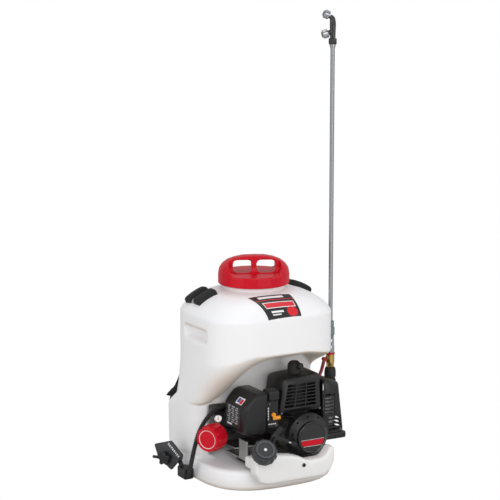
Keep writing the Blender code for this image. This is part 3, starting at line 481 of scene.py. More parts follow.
def grid_mesh(name: str, points: np.ndarray, closed: bool = False, cap: bool = False) -> Piece:
    """Make a mesh object from a (rows, columns, 3) grid of points.

    Args:
        name: Object name.
        points: Grid of positions.
        closed: Whether the last column joins the first.
        cap: Whether the first and last rows are filled.

    Returns:
        The linked object, with UVs of column and row shares.
    """
    rows, columns = points.shape[:2]
    i, j = np.meshgrid(np.arange(rows - 1), np.arange(columns if closed else columns - 1), indexing="ij")
    k = (j + 1) % columns
    quads = np.stack([i * columns + j, i * columns + k, (i + 1) * columns + k, (i + 1) * columns + j], -1)
    faces = quads.reshape(-1, 4).tolist()
    if cap:
        faces.append(list(range(columns))[::-1])
        faces.append([(rows - 1) * columns + n for n in range(columns)])
    mesh = bpy.data.meshes.new(name)
    mesh.from_pydata(points.reshape(-1, 3).tolist(), [], faces)
    loops = np.empty(len(mesh.loops), np.int32)
    mesh.loops.foreach_get("vertex_index", loops)
    uv = np.stack([(loops % columns) / max(1, columns - 1), (loops // columns) / max(1, rows - 1)], -1)
    mesh.uv_layers.new(name="UVMap").data.foreach_set("uv", uv.astype(np.float32).ravel())
    mesh.shade_smooth()
    return linked(name, mesh)


def dress(obj: Piece, finish: Look, body: str, *nodes: str) -> Piece:
    """Give a piece its finish, the body it rides on and the nodes it stands for.

    Args:
        obj: The piece.
        finish: Its finish.
        body: Body of the CAD frame.
        nodes: CAD nodes it replaces.

    Returns:
        The piece.
    """
    obj.data.materials.clear()
    obj.data.materials.append(finish.material())
    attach(obj, body)
    if nodes:
        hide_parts(*nodes)
    LOG.info("%s: %d vertices on %s", obj.name, len(obj.data.vertices), body)
    return obj


def swept(name: str, path: np.ndarray, section: np.ndarray, hint: Triple = DEEP,
          scale: np.ndarray | float = 1.0) -> Piece:
    """Carry a section along a path: P(u, v) = C(u) + s(u) (a(u, v) N(u) + b(u, v) B(u)).

    Args:
        name: Object name.
        path: (rows, 3) centre line C.
        section: (columns, 2) section (a, b), or one for each row.
        hint: Direction that N follows.
        scale: Scale s, one or for each row.

    Returns:
        The piece, with filled ends.
    """
    tangent = np.gradient(path, axis=0)
    tangent /= np.linalg.norm(tangent, axis=1, keepdims=True)
    normal = np.array(hint) - tangent * (tangent @ np.array(hint))[:, None]
    normal /= np.linalg.norm(normal, axis=1, keepdims=True)
    other = np.cross(tangent, normal)
    section = np.broadcast_to(section, (len(path), *section.shape[-2:]))
    across = section[..., :1] * normal[:, None, :] + section[..., 1:] * other[:, None, :]
    size = np.broadcast_to(scale, len(path))[:, None, None]
    return grid_mesh(name, path[:, None, :] + across * size, True, cap=True)


def turned(name: str, profile: list[tuple[float, float]], origin: Triple, axis: Triple,
           count: int = 96) -> Piece:
    """Surface of revolution P(t, v) = O + r(t)(cos v N + sin v B) + h(t) A.

    Args:
        name: Object name.
        profile: (radius, height) pairs, from the axis out and back, or round a ring to the first pair.
        origin: Point O on the axis.
        axis: Direction A.
        count: Points round.

    Returns:
        The piece.
    """
    a = Vector(axis).normalized()
    n = a.orthogonal().normalized()
    b = a.cross(n)
    p = np.asarray(profile, float)
    angle = around(count)
    radial = np.cos(angle)[:, None] * np.array(n) + np.sin(angle)[:, None] * np.array(b)
    grid = np.array(origin) + p[:, 0, None, None] * radial[None] + p[:, 1, None, None] * np.array(a)
    obj = grid_mesh(name, grid, True, cap=profile[0] != profile[-1])
    obj.data.set_sharp_from_angle(angle=TURNED_SHARP)
    return obj


@dataclass(frozen=True)
class Settle:
    """Draws in the upper end of a copied node along an axis: p - shift ease(p, low, high).

    Attributes:
        axis: Index of the axis.
        low: Where the shift starts.
        high: Where it is full.
        shift: The full shift.
    """

    axis: int = 2
    low: float = 0.0
    high: float = 1.0
    shift: float = 0.0

    def apply(self, mesh: bpy.types.Mesh) -> None:
        """Move the points of a mesh.

        Args:
            mesh: The mesh.
        """
        points = np.empty((len(mesh.vertices), 3), np.float32)
        mesh.vertices.foreach_get("co", points.ravel())
        points[:, self.axis] -= self.shift * ease(points[:, self.axis], self.low, self.high)
        mesh.vertices.foreach_set("co", points.ravel())


def modify(obj: Piece, kind: str, **settings: object) -> None:
    """Add a modifier.

    Args:
        obj: The piece.
        kind: Type of the modifier.
        settings: Its properties.
    """
    modifier = obj.modifiers.new(kind.title(), kind)
    for name, value in settings.items():
        setattr(modifier, name, value)


def copied(finish: Finish, *nodes: str, edge: Edge = Edge.CRISP, width: float = 0.0008, soften: int = 6,
           settle: Settle = Settle()) -> None:
    """Dress finished copies of CAD nodes: welded, then edge-rounded or remoulded as one soft skin.

    Args:
        finish: Finish they get.
        nodes: CAD nodes.
        edge: Crisp edges with a small bevel, or a moulded skin.
        width: Bevel width, or voxel size of the moulded skin.
        soften: Smoothing passes of the moulded skin.
        settle: How an end is drawn in.
    """
    for node in nodes:
        mesh = frame["nodes"][node].data.copy()
        bm = bmesh.new()
        bm.from_mesh(mesh)
        bmesh.ops.remove_doubles(bm, verts=bm.verts, dist=0.00002)
        bmesh.ops.dissolve_limit(bm, angle_limit=math.radians(1.5), verts=bm.verts, edges=bm.edges)
        bm.to_mesh(mesh)
        bm.free()
        settle.apply(mesh)
        mesh.shade_smooth()
        obj = linked(f"{node}_skin", mesh)
        if edge is Edge.MOULDED:
            modify(obj, "REMESH", mode="VOXEL", voxel_size=width, use_smooth_shade=True)
            modify(obj, "SMOOTH", factor=0.5, iterations=soften)
        else:
            mesh.set_sharp_from_angle(angle=SHARP)
            modify(obj, "BEVEL", width=width, segments=2, limit_method="ANGLE", angle_limit=SHARP,
                   use_clamp_overlap=True)
        dress(obj, finish, BODY_OF[node], node)


def patch(name: str, corners: list[Triple], lift: float) -> Piece:
    """Flat plate P(u, v) = bilinear(corners) + lift N.

    Args:
        name: Object name.
        corners: Four corners.
        lift: Distance along the normal.

    Returns:
        The piece.
    """
    a, b, _, d = np.array(corners, float)
    normal = np.cross(b - a, d - a)
    normal /= np.linalg.norm(normal)
    return grid_mesh(name, bilinear(corners, np.linspace(0, 1, 10), np.linspace(0, 1, 6)) + lift * normal)


def screw(name: str, place: Triple, radius: float, body: str, finish: Finish) -> Piece:
    """Pan head with a round recess, turned about an axis that looks forward.

    Args:
        name: Object name.
        place: Foot of the head.
        radius: Radius of the head.
        body: Body it rides on.
        finish: Its finish.

    Returns:
        The piece.
    """
    shares = ((0.38, 0.25), (0.44, 0.62), (0.72, 0.58), (0.93, 0.38), (1.0, 0.15), (1.0, -0.2))
    rim = [(a * radius, b * radius) for a, b in shares]
    profile = [(ON_AXIS, 0.25 * radius), *rim, (ON_AXIS, -0.2 * radius)]
    return dress(turned(name, profile, place, FORWARD, 24), finish, body)


@dataclass
class Tank:
    """The blow-moulded tank with its sloping chin, pump bay, hand pockets and neck.

    Attributes:
        crown: Draw-in, rise and power of the crown.
        chin: Chin's edge at the left, its rise to the middle, and the share it drops at the right.
        chin_x: Where that rise and that drop start and end.
        chin_top: Chin's end at the left, its rise, and its drop at the right.
        top_x: Where these start and end.
        lip: Share and power of the lip, and where it starts and ends.
        bay: Depth of the pump bay, and its spans in x and z.
        pocket: Depth of the hand pockets, and their spans in y and z.
        neck: Radius and top of the neck.
    """

    half_width: float = 0.1525
    front: float = -0.134
    rear: float = 0.118
    lumbar: float = 0.158
    base_front: float = -0.155
    column: float = -0.03
    seat: float = 0.045
    shoulder: float = 0.361
    crown: Triple = (0.072, 0.045, 1.25)
    chin: Triple = (0.165, 0.086, 0.45)
    chin_x: Numbers = (-0.15, 0.0, 0.105, 0.15)
    chin_top: Triple = (0.268, 0.02, 0.012)
    top_x: Numbers = (-0.15, -0.06, 0.05, 0.13)
    lip: Numbers = (0.6, 0.45, -0.09, -0.01)
    bay: Numbers = (0.085, -0.108, 0.11, 0.016, 0.066, 0.154, 0.014)
    pocket: Numbers = (0.016, -0.052, 0.022, 0.014, 0.318, 0.332, 0.01)
    neck: tuple[float, float] = (0.066, 0.4345)
    wall: float = 0.004
    sides: int = 192
    label_plan: tuple[Numbers, ...] = (
        (-0.04, -0.1332), (0.0432, -0.1326), (0.0418, -0.0822), (-0.0603, -0.0766))

    def crown_level(self, angle: np.ndarray) -> tuple[np.ndarray, ...]:
        """Shoulder at angle t: drawn in by a (1 - cos^k t), at height z0 + b sin^k t.

        Args:
            angle: Angles from 0 at the foot of the shoulder to a right angle.

        Returns:
            Height, half width, front, rear and squareness.
        """
        a, b, k = self.crown
        pull = a * (1 - np.abs(np.cos(angle)) ** k)
        height = self.shoulder + b * np.abs(np.sin(angle)) ** k
        square = 3.4 - 1.2 * angle / (math.pi / 2)
        return height, self.half_width - pull, self.front + pull * 0.8, self.rear - pull * 0.6, square

    def crown_height(self, x: np.ndarray, y: np.ndarray) -> np.ndarray:
        """Height of the shoulder over plan points, by halving the shoulder's angle.

        Args:
            x: Plan x.
            y: Plan y.

        Returns:
            Heights.
        """
        low, high = np.zeros_like(x), np.full_like(x, math.pi / 2)
        for _ in range(30):
            angle = (low + high) / 2
            _, half, front, rear, square = self.crown_level(angle)
            depth = np.abs(y - (front + rear) / 2) / ((rear - front) / 2)
            reach = (np.abs(x) / half) ** square + depth ** square
            low, high = np.where(reach < 1, angle, low), np.where(reach < 1, high, angle)
        return self.crown_level(low)[0]

    def on_crown(self, x: np.ndarray, y: np.ndarray, lift: float) -> np.ndarray:
        """Points at a distance above the shoulder: P = (x, y, h) + lift N, N from the slopes of h.

        Args:
            x: Plan x.
            y: Plan y.
            lift: Distance along the normal.

        Returns:
            Points with a last axis of 3.
        """
        step = 0.0015
        h = self.crown_height(x, y)
        slope_x = (self.crown_height(x + step, y) - self.crown_height(x - step, y)) / (2 * step)
        slope_y = (self.crown_height(x, y + step) - self.crown_height(x, y - step)) / (2 * step)
        normal = np.stack([-slope_x, -slope_y, np.ones_like(h)], -1)
        normal /= np.linalg.norm(normal, axis=-1, keepdims=True)
        return np.stack([x, y, h], -1) + lift * normal

    def rings(self) -> np.ndarray:
        """Level table from foot to neck: height, half width, front, rear, squareness, chin's share.

        Returns:
            (levels, 6) table.
        """
        w, low, f, seat = self.half_width, self.lumbar, self.base_front, self.seat
        inset = ((0.0, 0.014, 0.014, 0.014, 2.9), (0.001, 0.007, 0.007, 0.007, 2.9),
                 (0.005, 0.002, 0.002, 0.002, 2.9), (0.012, 0, 0, 0, 2.9), (0.024, 0, 0, 0, 2.9),
                 (0.034, 0, 0, 0, 2.9), (0.04, 0.001, 0.002, 0, 2.9), (0.0435, 0.003, 0.006, 0, 2.9),
                 (seat, 0.004, 0.014, 0, 2.9), (seat + 0.0005, 0.004, 0.05, 0, 2.9),
                 (seat + 0.001, 0.004, self.column - 0.026 - f, 0, 3.0),
                 (0.05, 0.003, self.column - 0.008 - f, 0, 3.2))
        foot = [(z, w - a, f + b, low - c, square, 0) for z, a, b, c, square in inset]
        z = np.concatenate([np.linspace(0.056, 0.3, 122), np.linspace(0.303, self.shoulder, 20)])
        back = low + (self.rear - low) * ease(z, 0.138, 0.176)
        side = w - 0.002 * (1 - ease(z, 0.06, 0.23))
        square = 3.4 + plateau(z, 0.075, 0.12, 0.09)
        wall = np.stack([z, side, np.full_like(z, self.column), back, square, np.ones_like(z)], -1)
        angle = np.radians(np.arange(5, 91, 5))
        crown = np.stack([*self.crown_level(angle), 0 * angle], -1)
        r, top = self.neck
        thread = ((0.4085, r + 0.004), (0.4105, r + 0.001), (0.4115, r), (0.4125, r), (0.4135, r + 0.0012),
                  (0.416, r + 0.0012), (0.417, r), (top - 0.0008, r), (top, r - 0.0008))
        neck = [(z, radius, -radius, radius, 2.0, 0) for z, radius in thread]
        return np.vstack([foot, wall, crown, neck])

    def skin(self, table: np.ndarray, lift: float = 0.0) -> np.ndarray:
        """Skin of the tank: x = w c^(2/n), y = m(x, z) + d(x, z) s^(2/n), its front set by the chin rule.

        The chin starts at its edge e(x) and ends at t(x). With q = (z - e) / (t - e), its share of the way
        out is a smooth step of q, mixed on the left with q^0.45, which makes a lip there.

        Args:
            table: Level table.
            lift: Height by which the chin is raised, for the inside.

        Returns:
            (levels, sides, 3) grid.
        """
        z, half, front, rear, square, chin_rule = (column[:, None] for column in table.T)
        angle = around(self.sides)[None]
        x = half * power(np.cos(angle), 2 / square)
        edge, climb, drop = self.chin
        chin = edge + climb * ease(x, *self.chin_x[:2]) * (1 - drop * ease(x, *self.chin_x[2:])) + lift
        end, climb, drop = self.chin_top
        top = end + climb * ease(x, *self.top_x[:2]) - drop * ease(x, *self.top_x[2:]) + lift
        rise = np.clip((z - chin) / (top - chin), 0, 1)
        lip = self.lip[0] * (1 - ease(x, *self.lip[2:]))
        share = lip * rise ** self.lip[1] + (1 - lip) * ease(rise, 0, 1)
        near = front + chin_rule * ((self.front - self.column) * share + hollow(x, z, self.bay))
        y = (near + rear) / 2 + (rear - near) / 2 * power(np.sin(angle), 2 / square)
        x = x - chin_rule * np.sign(x) * hollow(y, z, self.pocket) * ease(np.abs(x), 0.09, 0.13)
        return np.stack([x, y, np.broadcast_to(z, x.shape)], -1)

    def lining(self, table: np.ndarray) -> np.ndarray:
        """Inner skin: each ring drawn towards its middle by the wall, floors and roofs moved by the wall.

        Args:
            table: Level table.

        Returns:
            (levels, sides, 3) grid from the neck down to the floor.
        """
        inset = self.wall * 1.15
        ring = self.skin(table, inset)
        inward = ring.mean(axis=1, keepdims=True) - ring
        inward[..., 2] = 0
        inward /= np.linalg.norm(inward, axis=-1, keepdims=True)
        inner = ring + inward * inset
        z = table[:, 0][:, None]
        seat, roof = (z > self.seat - 0.001) & (z < 0.051), (z > self.shoulder) & (z < 0.4095)
        inner[..., 2] += self.wall * ((z < 0.002) * 1.0 - seat - roof)
        return inner[::-1]

    def build(self) -> None:
        """Build and dress the tank, its lining and its front label, which is laid on the crown."""
        table = self.rings()
        z = table[:, 0]
        kept = table[(z < 0.002) | (np.abs(z - 0.024) < 0.001) | (z >= self.seat - 1e-6)]
        obj = grid_mesh("tank_skin", np.concatenate([self.skin(table), self.lining(kept)]), True, cap=True)
        share = np.linspace(0, 1, 48)
        plan = bilinear(self.label_plan, share, share ** 1.5)
        sheet = grid_mesh("front_label", self.on_crown(plan[..., 0], plan[..., 1], 0.0005))
        dress(sheet, LABEL, BODY_OF["tank"])
        dress(obj, WHITE, BODY_OF["tank"], "tank")


@dataclass
class Filler:
    """Screw cap and what sits under it."""

    voxel: float = 0.0011

    def build(self) -> None:
        """Build the cap, the seal and the strainer."""
        copied(RED, "tank_cap", edge=Edge.MOULDED, width=self.voxel)
        copied(RUBBER, "cap_seal")
        copied(BLACK, "filler_strainer")


@dataclass
class Engine:
    """Two-stroke engine with its covers, starter, intake and fuel tank.

    Attributes:
        crank: x and z of the crank.
        face: y of the starter cover's face.
        guard: How the muffler and its guard are lowered, as the cowl and the boot are.
        fuel: How the fuel tank's right end is drawn in.
    """

    crank: tuple[float, float] = (0.055, 0.104)
    face: float = -0.1599
    radius: float = 0.0345
    cap_foot: Triple = (-0.0755, -0.1705, 0.079)
    cap_axis: Triple = (-0.2, -0.72, 0.66)
    cap_height: float = 0.0214 + 0.0225
    pull: Triple = (-0.875, -0.19, 0.445)
    cleaner_low: Triple = (-0.1015, -0.142, 0.122)
    cleaner_high: Triple = (-0.0449, -0.047, 0.2085)
    guard: Settle = Settle(2, 0.12, 0.232, 0.018)
    cowl: Settle = Settle(2, 0.16, 0.246, 0.012)
    boot: Settle = Settle(2, 0.2, 0.2335, 0.012)
    fuel: Settle = Settle(0, 0.02, 0.121, 0.026)
    spots: tuple[Triple, ...] = (
        (-0.002, -0.1258, 0.156), (0.093, -0.1258, 0.156), (0.148, -0.1222, 0.101), (0.11, -0.1222, 0.101),
        (-0.0345, -0.1312, 0.182), (-0.0175, -0.1312, 0.134))

    def build(self) -> None:
        """Build every engine piece."""
        copied(ALLOY, "crankcase", "flywheel_fan", "carburettor", width=0.0006)
        copied(DARK_ALLOY, "cylinder", width=0.0006)
        copied(MUFFLER, "muffler", width=0.0005, settle=self.guard)
        copied(ZINC, "engine_plate", "clutch", width=0.0005)
        copied(BLACK, "engine_cowl", width=0.0012, settle=self.cowl)
        copied(BLACK, "muffler_guard", width=0.0009, settle=self.guard)
        copied(BLACK, "starter_housing", width=0.0009)
        copied(BLACK, "control_panel", edge=Edge.MOULDED)
        copied(BLACK, "air_cleaner_base", "rope_guide", "intake_spacer")
        copied(BLACK, "starter_grip", edge=Edge.MOULDED, width=0.0007)
        copied(FUEL_WHITE, "fuel_tank", edge=Edge.MOULDED, width=0.0014, soften=60, settle=self.fuel)
        copied(CHARCOAL, "fuel_cap", width=0.0007)
        copied(ORANGE, "choke_lever", width=0.0005)
        copied(FOAM, "filter_foam")
        copied(RUBBER, "plug_boot", edge=Edge.MOULDED, soften=10, settle=self.boot)
        copied(RUBBER, "rubber_mount_left", "rubber_mount_right", width=0.001)
        copied(CHROME, "crankshaft", width=0.0004)
        copied(CHROME, "spark_plug", width=0.0004, settle=self.boot)
        near, far, low, high = -0.1214, -0.056, 0.098, 0.2115
        side = [(0.1033, y, z) for y, z in ((near, low), (far, low), (far, high), (near, high))]
        dress(patch("guard_side", side, 0.0), BLACK, BODY_OF["muffler_guard"])
        self.cover()
        self.rope()
        self.cleaner()
        self.plates()
        self.fuel_trim()
        for n, place in enumerate(self.spots):
            screw(f"cover_screw_{n}", place, 0.003, BODY_OF["engine_cowl"], GREY)

    def cover(self) -> None:
        """Round starter cover with a raised rim, and chords x = +-sqrt(R^2 - v^2): a band and two lines."""
        x, z = self.crank
        r, f = self.radius, -self.face
        profile = [(0.0002, f - 0.0002), (r * 0.86, f - 0.0002), (r * 0.885, f - 0.001),
                   (r * 0.91, f - 0.0004), (r * 0.95, f), (r * 0.985, f - 0.0008), (r, f - 0.0024),
                   (r, f - 0.0075), (0.0002, f - 0.0075)]
        body = BODY_OF["starter_cover"]
        dress(turned("starter_cover_skin", profile, (x, 0, z), FORWARD), SHINE_BLACK, body, "starter_cover")
        u = np.linspace(-1, 1, 48)[None]
        for name, low, high, finish in (("starter_band", -0.5, -0.16, RED),
                                        ("starter_line_low", -0.55, -0.53, IVORY),
                                        ("starter_line_high", -0.13, -0.11, IVORY)):
            v = np.linspace(low, high, 6)[:, None] * r
            half = np.sqrt((0.84 * r) ** 2 - v ** 2)
            grid = np.stack([x + u * half, np.full((6, 48), self.face - 0.00005), z + v + 0 * u], -1)
            dress(grid_mesh(name, grid), finish, body)

    def rope(self) -> None:
        """Starter rope P(t, v) = R + t D + r (cos v N + sin v B), drawn out from its guide to the grip."""
        x, z = self.crank
        start = np.array((x - 0.0425, -0.1575, z - 0.01))
        line = start + np.linspace(0.002, 0.0215, 80)[:, None] * unit(self.pull)
        rope = swept("starter_rope_skin", line, circle(0.0019, 16))
        rope.data.materials.append(IVORY.material())
        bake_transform(rope)
        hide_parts("starter_rope")
        LOG.info("%s: %d vertices, blended", rope.name, len(rope.data.vertices))

    def cleaner_left(self, z: np.ndarray) -> np.ndarray:
        """Left side x0 + a (z - z0) + b ease(z, z1, z2) of the air cleaner at heights z."""
        low, high = self.cleaner_low, self.cleaner_high
        return low[0] + 0.02 * (z - low[2]) + 0.03 * ease(z, high[2] - 0.034, high[2] + 0.01)

    def cleaner(self) -> None:
        """Air cleaner cover: rounded rectangles P = m(z) + (a(z) c^(2/n), b(z) s^(2/n)), rounded ends."""
        low, high = self.cleaner_low, self.cleaner_high
        turn = np.linspace(0, math.pi / 2, 10)
        foot, top = 0.008, 0.009
        z = np.concatenate([low[2] + foot * (1 - np.cos(turn)),
                            np.linspace(low[2] + 0.012, high[2] - 0.012, 40),
                            high[2] - top + top * np.sin(turn)])[:, None]
        inset = np.concatenate([foot * (1 - np.sin(turn)), np.zeros(40), top * (1 - np.cos(turn))])[:, None]
        left, right = self.cleaner_left(z) + inset, high[0]
        front, rear = low[1] + inset, high[1] - inset
        angle = around(160)[None]
        x = (left + right) / 2 + (right - left) / 2 * power(np.cos(angle), 0.25)
        y = (front + rear) / 2 + (rear - front) / 2 * power(np.sin(angle), 0.25)
        cover = grid_mesh("air_cleaner_cover_skin", np.stack([x, y, z + 0 * x], -1), True, cap=True)
        dress(cover, BLACK, BODY_OF["air_cleaner_cover"], "air_cleaner_cover")

    def plates(self) -> None:
        """Plates on the air cleaner's left side, P = (left(z) - lift, y, z), and marks by the choke lever."""
        body = BODY_OF["air_cleaner_cover"]
        for name, near, far, low, high, finish in (
                ("cleaner_plate", -0.124, -0.064, 0.134, 0.179, PLATE),
                ("cleaner_sticker", -0.12, -0.093, 0.185, 0.1965, STICKER)):
            y = np.linspace(far, near, 24)[None, :]
            z = np.linspace(low, high, 24)[:, None]
            grid = np.stack([self.cleaner_left(z) - 0.0006 + 0 * y, y + 0 * z, z + 0 * y], -1)
            dress(grid_mesh(name, grid), finish, body)
        for name, left, right, low, high, note in (
                ("panel_note_row", -0.0385, -0.017, 0.136, 0.14, NOTE_ROW),
                ("panel_note_column", -0.039, -0.036, 0.147, 0.176, NOTE_COLUMN)):
            corners = [(x, -0.131, z) for x, z in ((left, low), (right, low), (right, high), (left, high))]
            dress(patch(name, corners, PRINT_LIFT), note, body)

    def fuel_trim(self) -> None:
        """Ring and button on the fuel cap, and the rubber grommet in the fuel tank's front."""
        axis = Vector(self.cap_axis).normalized()
        top = Vector(self.cap_foot) + axis * self.cap_height
        ring = [(0.016, 0.0), (0.0164, 0.0007), (0.0194, 0.0007), (0.0198, 0.0), (0.0194, -0.0004),
                (0.0164, -0.0004), (0.016, 0.0)]
        button = [(ON_AXIS, 0.0014), (0.0026, 0.0012), (0.0036, 0.0), (0.0036, -0.0006), (ON_AXIS, -0.0006)]
        dress(turned("fuel_cap_ring", ring, top, axis, 64), GREY, BODY_OF["fuel_cap"])
        dress(turned("fuel_cap_button", button, top, axis, 32), IVORY, BODY_OF["fuel_cap"])
        screw("fuel_grommet", (0.017, -0.188, 0.056), 0.0042, BODY_OF["fuel_tank"], RUBBER)


@dataclass
class Pump:
    """Pump, its gearcase, the dial on its seat and the gauge on its foot."""

    axis: Triple = (-0.86, -0.51, 0.0)
    seat: Triple = (-0.1288, -0.0698, 0.1115)
    gauge_axis: Triple = (-0.6, -0.74, 0.3)
    gauge_foot: Triple = (-0.1206, -0.0626, 0.1238)

    def build(self) -> None:
        """Build every pump piece."""
        copied(DARK_ALLOY, "pump_body", width=0.001)
        copied(ALLOY, "gearcase")
        copied(ZINC, "pump_bracket")
        copied(BRASS, "outlet_fitting", width=0.0005)
        copied(RED, "pressure_dial", edge=Edge.MOULDED)
        axis = Vector(self.axis).normalized()
        ring = [(0.0186, 0.0), (0.0189, 0.0006), (0.0202, 0.0006), (0.0206, 0.0), (0.0202, -0.0005),
                (0.0189, -0.0005), (0.0186, 0.0)]
        face = Vector(self.seat) + axis * 0.038
        dress(turned("dial_ring", ring, face, axis, 64), IVORY, BODY_OF["pressure_dial"])
        self.gauge()

    def gauge(self) -> None:
        """Stem, case and face C + R k (u S + v T) of the gauge, with k = max(|u|, |v|) / |(u, v)|."""
        body = BODY_OF["pressure_gauge"]
        foot = Vector(self.gauge_foot)
        stem = [(ON_AXIS, 0.019), (0.004, 0.019), (0.004, 0.0002), (ON_AXIS, 0.0002)]
        case = [(ON_AXIS, 0.0036), (0.0066, 0.0036), (0.007, 0.0046), (0.0078, 0.0044), (0.008, 0.003),
                (0.008, -0.0036), (0.0062, -0.005), (ON_AXIS, -0.005)]
        middle = foot + Vector((0, 0, 0.0215))
        dress(turned("gauge_stem", stem, foot, UP, 32), BRASS, body)
        dress(turned("gauge_case", case, middle, self.gauge_axis, 64), CHROME, body, "pressure_gauge")
        rise = unit(self.gauge_axis)
        side = np.cross(rise, UP)
        side /= np.linalg.norm(side)
        up = np.cross(side, rise)
        u, v = np.meshgrid(np.linspace(-1, 1, 17), np.linspace(-1, 1, 17))
        shrink = np.maximum(np.abs(u), np.abs(v)) / np.maximum(1e-9, np.hypot(u, v))
        centre = np.array(middle) + rise * 0.0038
        grid = centre + 0.0067 * ((u * shrink)[..., None] * -side + (v * shrink)[..., None] * up)
        dress(grid_mesh("gauge_face", grid), DIAL_FACE, body)


@dataclass
class Throttle:
    """Throttle control with its corrugated conduit.

    Attributes:
        rise: Height of a corrugation.
        corner: Upper rear corner of the plate.
        marks: Corners of the scale, along the plate and up.
    """

    radius: float = 0.0046
    pitch: float = 0.0042
    rise: float = 0.0006
    corner: Triple = (-0.207, 0.066, 0.071)
    side: Triple = (0.6, -0.8, 0.0)
    out: Triple = (-0.8, -0.6, 0.0)
    marks: tuple[Numbers, ...] = ((0.033, 0.004), (0.059, -0.023), (0.0635, -0.019), (0.038, 0.0085))
    stops: tuple[Triple, ...] = (
        (-0.169, -0.015, 0.014), (-0.171, -0.03, 0.04), (-0.166, -0.04, 0.084), (-0.156, -0.046, 0.122),
        (-0.134, -0.048, 0.152), (-0.1, -0.039, 0.164), (-0.066, -0.0385, 0.164), (-0.036, -0.044, 0.16),
        (-0.026, -0.054, 0.158))

    def build(self) -> None:
        """Build the control, and the conduit: a circle of radius r + h cos(2 pi s / p) along its route."""
        copied(CHARCOAL, "throttle_plate")
        copied(BLACK, "throttle_lever", edge=Edge.MOULDED, width=0.0007)
        copied(BLACK, "throttle_clamp")
        corner, side, out = np.array(self.corner), np.array(self.side), np.array(self.out)
        spots = [corner + side * a + out * 0.01 + np.array((0, 0, b)) for a, b in self.marks]
        dress(patch("throttle_scale", spots, PRINT_LIFT), SCALE, BODY_OF["throttle_plate"])
        path = spline(self.stops, 520)
        arc = lengths(path)
        ripple = 1 + self.rise / self.radius * np.cos(2 * math.pi * arc / self.pitch)
        conduit = swept("conduit_skin", path, circle(self.radius, 20), (0.3, 1, 0.2), ripple)
        dress(conduit, RUBBER, BODY_OF["throttle_conduit"], "throttle_conduit")


@dataclass
class Lance:
    """Spray lance in its clip, with the heights of its nozzles' seats and the ways they look."""

    place: tuple[float, float] = (0.171, -0.04)
    fork: float = 0.956
    high: float = 0.986
    aim: Triple = (-0.82, 0.38, 0.42)
    low_aim: Triple = (-0.86, 0.4, -0.3)

    def build(self) -> None:
        """Build every lance piece."""
        copied(CHROME, "lance_pipe", "lance_nut", "nozzle_upper", "nozzle_lower", width=0.0005)
        copied(BRASS, "trigger_valve", "hose_tail", width=0.0005)
        copied(SLEEVE, "lance_sleeve")
        copied(RUBBER, "lance_grip", width=0.0006)
        copied(DARK_RED, "trigger_lever")
        copied(SLEEVE, "lance_clip")
        ring = [(0.0086, 0.0), (0.01, -0.0016), (0.0104, -0.001), (0.0104, 0.001), (0.01, 0.0016),
                (0.0086, 0.0)]
        dress(turned("valve_ring", ring, (*self.place, 0.2506), UP, 48), RED, BODY_OF["trigger_valve"])
        self.head()

    def head(self) -> None:
        """Nozzle arm, a collar with ribs r0 (1 + 0.05 cos 10 v), its stub and the nozzles' mouths."""
        x, y = self.place
        body = BODY_OF["nozzle_head"]
        stops = [(x, y, 0.9385), (x, y, 0.957), (x, y, 0.974), (x - 0.0012, y + 0.0005, 0.9835),
                 (x - 0.0056, y + 0.0026, 0.9885)]
        places, sizes = [0, 0.1, 0.45, 0.8, 1], [0.0056, 0.006, 0.0068, 0.0056, 0.0048]
        swell = np.interp(np.linspace(0, 1, 60), places, sizes)
        arm = swept("nozzle_arm", spline(stops, 60), circle(1.0, 32), scale=swell)
        dress(arm, SHINE_BLACK, body, "nozzle_head")
        ribs = (1 + 0.05 * np.cos(10 * around(160)))[:, None] * circle(1.0, 160)
        rows = np.array([(0.9288, 0.0055), (0.9288, 0.0078), (0.93, 0.0085), (0.94, 0.0085), (0.9414, 0.0078),
                         (0.942, 0.006)])
        line = np.stack([np.full(6, x), np.full(6, y), rows[:, 0] + 1e-6 * np.arange(6)], -1)
        collar = swept("nozzle_collar", line, ribs, scale=rows[:, 1])
        collar.data.set_sharp_from_angle(angle=RIB_SHARP)
        dress(collar, SHINE_BLACK, body)
        stub = np.array((x, y, self.fork)) + np.linspace(0, 0.0105, 8)[:, None] * unit(self.low_aim)
        dress(swept("nozzle_stub", stub, circle(0.0056, 28), scale=np.linspace(1, 0.9, 8)), SHINE_BLACK, body)
        mouth = [(ON_AXIS, 0.013), (0.003, 0.0136), (0.005, 0.0146), (0.0056, 0.0144), (0.0056, 0.0135),
                 (ON_AXIS, 0.0125)]
        for name, height, way, gap in (("upper", self.high, self.aim, 0.0084),
                                       ("lower", self.fork, self.low_aim, 0.0104)):
            seat = Vector((x, y, height)) + Vector(way).normalized() * gap
            obj = turned(f"nozzle_mouth_{name}", mouth, seat, way, 48)
            dress(obj, SHINE_BLACK, BODY_OF[f"nozzle_{name}"])


